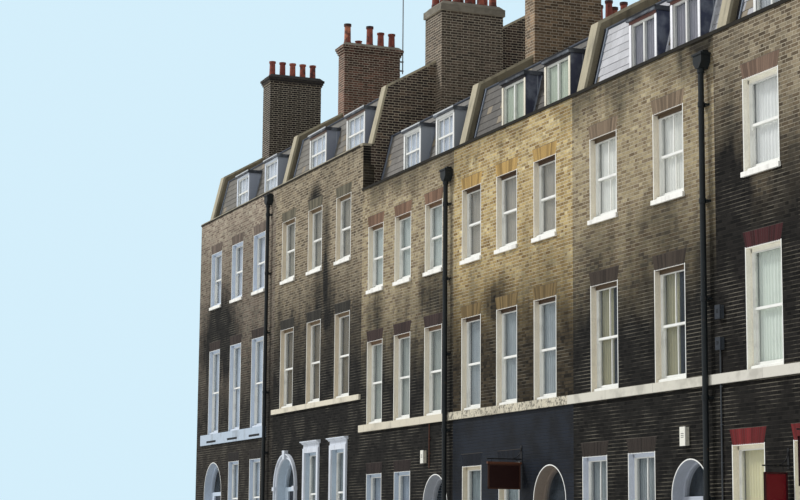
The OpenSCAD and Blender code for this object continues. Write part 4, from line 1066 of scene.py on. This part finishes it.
def dormer_details():
    """Casings, head boards, sills and glazing bars of the dormers, and the edges of their lead roofs."""
    trim = Pile("dormer_trim", tinted("dormer_paint", 0.45, 40.0, 0.0005))
    for house, side, low, high in DORMERS:
        depth = low.y - FACE if side == STREET else GARDEN - high.y
        tint = DORMER_PAINT[house]
        outer = [low.x - CHEEK, high.x + CHEEK]
        for x in ([outer[0], low.x + 0.020], [high.x - 0.020, outer[1]]):
            trim.box(x, span(side, depth - 0.030, depth - 0.015), [low.z - CHEEK, high.z + CHEEK], tint)
        trim.box(outer, span(side, depth - 0.034, depth - 0.015),
                 [high.z - 0.010, high.z + CHEEK], FASCIA[house])
        trim.box([outer[0] - 0.015, outer[1] + 0.015], span(side, depth - 0.060, depth + 0.010),
                 [low.z - CHEEK, low.z + 0.010], tint)
        if house < 3:
            for share in (1 / 3, 2 / 3):
                x = low.x + (high.x - low.x) * share
                trim.box([x - 0.010, x + 0.010], span(side, depth + 0.014, depth + 0.046),
                         [low.z + 0.040, high.z - 0.040], tint)
    for _, house, side, low, high in pieces("dormer_roofs"):
        edge = [low.y - 0.004, low.y + 0.010] if side == STREET else [high.y + 0.004, high.y - 0.010]
        # Roof edges are pale lead on houses 1 to 3 and near black on houses 4 to 6: lead with painted shadow
        # under the edge.
        tint = srgb(186, 190, 192) if house < 3 else srgb(22, 23, 26)
        trim.box([low.x - 0.004, high.x + 0.004], edge, [high.z - 0.034, high.z + 0.003], tint)
    trim.make()


def slope_between(foot, head, low, high):
    """The part of a slope between two heights, as its foot and its head."""
    def place(z):
        share = (min(max(z, foot[1]), head[1]) - foot[1]) / (head[1] - foot[1])
        return foot[0] + (head[0] - foot[0]) * share, foot[1] + (head[1] - foot[1]) * share
    return place(low), place(high)


def flashings():
    """Lead gutters beside the party walls, dark with painted shadow from the upstands, lead rolls beside the
    party walls and dormers, and the roll along the knee.
    """
    pile = Pile("roof_lead", tinted("roof_lead_sheet", 0.6, 30.0, 0.0008))
    flat, raised, roll = ((0.012, 0.022),) * 2, ((0.008, 0.028),) * 2, ((0.010, 0.042),) * 2
    # The gutter strip by each party wall is near black: painted shadow that the upstand casts on the lead.
    strips = ((0.002, 0.130, flat, srgb(46, 45, 48)), (0.130, 0.165, roll, srgb(122, 130, 142)))
    for points, house, side, low, high in pieces("mansard_slopes"):
        foot, head = slope_line(points, True)
        for edge, way in ((low.x, 1), (high.x, -1)):
            for a, b, lift, tint in strips:
                pile.slope(sorted((edge + way * a, edge + way * b)), foot, head, lift, tint)
        for k, (left, right) in enumerate(tall_boxes(side, low, high)):
            start, stop = slope_between(foot, head, left.z, right.z + 0.02)
            x = [left.x - 0.045, left.x - 0.002] if k % 2 == 0 else [right.x + 0.002, right.x + 0.045]
            # On house 5 the flashings by the dormer cheeks are near white: painted highlight of lit lead.
            pile.slope(x, start, stop, raised, srgb(228, 230, 234) if house == 4 else srgb(132, 138, 148))
        pile.rod((low.x + 0.002, *head), (high.x - 0.002, *head), 0.036, 10, srgb(62, 68, 78))
    pile.make()


# Hanging boards: house, distance from its left party line, underside, height, near and far edge, colour
BOARDS = [
    (3, 3.86, 2.77, 0.54, 0.03, 0.80, srgb(40, 20, 17)),
    (5, 3.87, 2.555, 0.795, 0.04, 0.80, srgb(100, 8, 22)),
    (5, 2.37, 1.95, 0.88, 0.04, 0.49, srgb(100, 8, 22)),
]
BOARD_HALF, RIM_HALF, RIM_W = 0.012, 0.022, 0.030   # half thickness of board and rim, width of the rim
STAY_R = 0.25                                       # radius of the curve of a stay
HANGER_R, BAR_R, STAY_T = 0.007, 0.013, 0.009       # radius of the hangers, the bar and the stay


def hanging_boards():
    """Bare framed boards square to the wall, each hung by two rods from an iron bracket with a stay."""
    pile = Pile("hanging_boards", tinted("board_paint", 0.45, 40.0, 0.0006))
    iron, brown, crimson, crest = shades((24, 24, 26), (66, 42, 32), (52, 14, 20), (92, 58, 42))
    for house, off, foot, height, near, far, tint in BOARDS:
        x = PARTY[house] + off
        edge = brown if house == 3 else crimson
        y, z = [FACE - far, FACE - near], [foot, foot + height]
        wide = [x - 0.030, x + 0.030]
        pile.box([x - BOARD_HALF, x + BOARD_HALF], y, z, tint)
        for border in ([z[0], z[0] + RIM_W], [z[1] - RIM_W, z[1]]):
            pile.box([x - RIM_HALF, x + RIM_HALF], y, border, edge)
        for border in ([y[0], y[0] + RIM_W], [y[1] - RIM_W, y[1]]):
            pile.box([x - RIM_HALF + 0.001, x + RIM_HALF - 0.001], border, z, edge)
        bar = z[1] + 0.11
        for place in (y[0] + 0.08, y[1] - 0.08):
            pile.rod((x, place, z[1] - 0.010), (x, place, bar), HANGER_R, 8, iron)
        pile.rod((x, FACE - 0.005, bar), (x, y[0] - 0.030, bar), BAR_R, 12, iron)
        turn = [math.pi / 2 * k / 12 for k in range(13)]
        stay = [(x, FACE - STAY_R - 0.01 + STAY_R * math.sin(t), bar + STAY_R - STAY_R * math.cos(t))
                for t in turn]
        for a, b in zip(stay, stay[1:]):
            pile.rod(a, b, STAY_T, 8, iron)
        pile.box(wide, [FACE - 0.010, FACE], [bar - 0.05, bar + 0.30], iron)
        if house == 3:
            pile.box(wide, [y[0] - 0.02, y[1] + 0.02], [z[1], z[1] + 0.045], crest)
    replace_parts(pile.make(), "sign_boards")


# Thin pipes on houses 3 and 6: place along the row, top, foot, radius, colour
THIN_PIPES = [
    (0.51, 4.45, 3.39, 0.013, srgb(92, 58, 44)),
    (1.385, 4.45, 3.32, 0.014, srgb(92, 58, 44)),
    (PARTY[5] + 0.30, 5.10, 0.35, 0.016, srgb(70, 74, 78)),
]


def small_fittings():
    """Thin pipes with their clips, dark slots in the band of house 1, and lids of the wall boxes."""
    pile = Pile("small_fittings", tinted("fitting_paint", 0.6, 50.0, 0.0006))
    black = srgb(16, 18, 20)
    y = FACE - 0.025
    for x, top, foot, radius, tint in THIN_PIPES:
        pile.rod((x, y, foot), (x, y, top), radius, 10, tint)
        clips = max(2, round((top - foot) / 0.8))
        for k in range(1, clips + 1):
            z = foot + (top - foot) * k / (clips + 1)
            pile.box([x - 0.028, x + 0.028], [y - 0.006, FACE], [z - 0.010, z + 0.010], tint)
    band = corners(solids("sill_bands")[0])[0]
    # The slots in the band of house 1 are filled with black blocks: painted shade in their depth.
    for house, _, low, high in FIRST:
        if house == 0:
            middle = (low.x + high.x) / 2
            pile.box([middle - 0.52, middle + 0.52], [FACE - 0.048, FACE - 0.001],
                     [band.z + 0.062, band.z + 0.128], black)
    for _, _, _, low, high in pieces("wall_boxes"):
        dark = low.x > PARTY[5]
        lid, line = (srgb(46, 51, 57), black) if dark else shades((226, 224, 212), (96, 98, 96))
        pile.box([low.x - 0.006, high.x + 0.006], [low.y - 0.004, low.y + 0.020],
                 [low.z - 0.006, high.z + 0.006], lid)
        for share in (0.45, 0.55, 0.65):
            z = low.z + (high.z - low.z) * share
            pile.box([low.x + 0.04, high.x - 0.04], [low.y - 0.006, low.y], [z - 0.006, z + 0.006], line)
    pile.make()


# Camera, fitted to the photograph: turns in degrees, lens and sensor in millimetres, place in metres
YAW, PITCH, ROLL = 22.19, 8.52, 0.50
LENS, SENSOR = 88.07, 36.0
CAMERA_X, CAMERA_AHEAD, EYE = 44.0, 18.565, 1.6

# Light: the key's strength, spread in degrees and direction, and the colour and strength of the surround
KEY, KEY_SPREAD, KEY_FROM = 2.5, 9, (-0.44, -0.54, 0.72)
FILL, FILL_STRENGTH = (0.94, 0.97, 1.0, 1), 0.58
SKY = (0.66, 0.86, 0.97, 1)
FLOOR_R = 180


def put(name, data):
    """A new object in the scene."""
    made = bpy.data.objects.new(name, data)
    bpy.context.scene.collection.objects.link(made)
    return made


def camera():
    """Camera where the photograph was taken, at eye height on the far pavement."""
    yaw, pitch, roll = [math.radians(angle) for angle in (YAW, PITCH, ROLL)]
    made = put("camera", bpy.data.cameras.new("camera"))
    made.data.lens, made.data.sensor_width = LENS, SENSOR
    made.data.clip_end = 500.0
    forward = Vector((-math.cos(yaw) * math.cos(pitch), math.sin(yaw) * math.cos(pitch), math.sin(pitch)))
    right = forward.cross(Vector((0, 0, 1))).normalized()
    up = right.cross(forward)
    tilted = right * math.cos(roll) + up * math.sin(roll)
    upper = up * math.cos(roll) - right * math.sin(roll)
    turn = made.matrix_world.to_3x3()
    turn.col[0], turn.col[1], turn.col[2] = tilted, upper, -forward
    made.matrix_world = turn.to_4x4()
    made.location = (CAMERA_X, FACE - CAMERA_AHEAD, EYE)
    bpy.context.scene.camera = made


def studio():
    """Pale floor, soft light from the front left, and a pale surround."""
    mesh = bpy.data.meshes.new("floor")
    turn = [2 * math.pi * k / 64 for k in range(64)]
    mesh.from_pydata([(FLOOR_R * math.cos(t), FLOOR_R * math.sin(t), -0.002) for t in turn], [],
                     [tuple(range(64))])
    floor = put("floor", mesh)
    look = Look("floor_paint")
    pale = look.mix(look.noise(0.2, 2.0), (0.72, 0.72, 0.71, 1), (0.76, 0.76, 0.75, 1))
    mesh.materials.append(look.finish(pale, 0.9))
    sun = put("key", bpy.data.lights.new("key", "SUN"))
    sun.data.energy, sun.data.angle = KEY, math.radians(KEY_SPREAD)
    sun.rotation_euler = Vector(KEY_FROM).to_track_quat("Z", "Y").to_euler()
    world = bpy.data.worlds.new("surround")
    bpy.context.scene.world = world
    world.use_nodes = True
    tree = world.node_tree
    tree.nodes.clear()
    light = tree.nodes.new("ShaderNodeBackground")
    light.inputs[0].default_value, light.inputs[1].default_value = FILL, FILL_STRENGTH
    shown = tree.nodes.new("ShaderNodeBackground")
    shown.inputs[0].default_value, shown.inputs[1].default_value = SKY, 1.0
    path, chooser = tree.nodes.new("ShaderNodeLightPath"), tree.nodes.new("ShaderNodeMixShader")
    seen = tree.nodes.new("ShaderNodeMath")
    seen.operation = "MAXIMUM"
    tree.links.new(path.outputs["Is Camera Ray"], seen.inputs[0])
    tree.links.new(path.outputs["Is Transmission Ray"], seen.inputs[1])
    tree.links.new(seen.outputs[0], chooser.inputs[0])
    tree.links.new(light.outputs[0], chooser.inputs[1])
    tree.links.new(shown.outputs[0], chooser.inputs[2])
    tree.links.new(chooser.outputs[0], tree.nodes.new("ShaderNodeOutputWorld").inputs[0])
    bpy.context.scene.view_settings.view_transform = "Standard"


dress_walls()
dress_the_rest()
roofs()
reveals()
flat_arch_bricks()
sash_details()
net_curtains()
dormer_details()
flashings()
hanging_boards()
small_fittings()
camera()
studio()
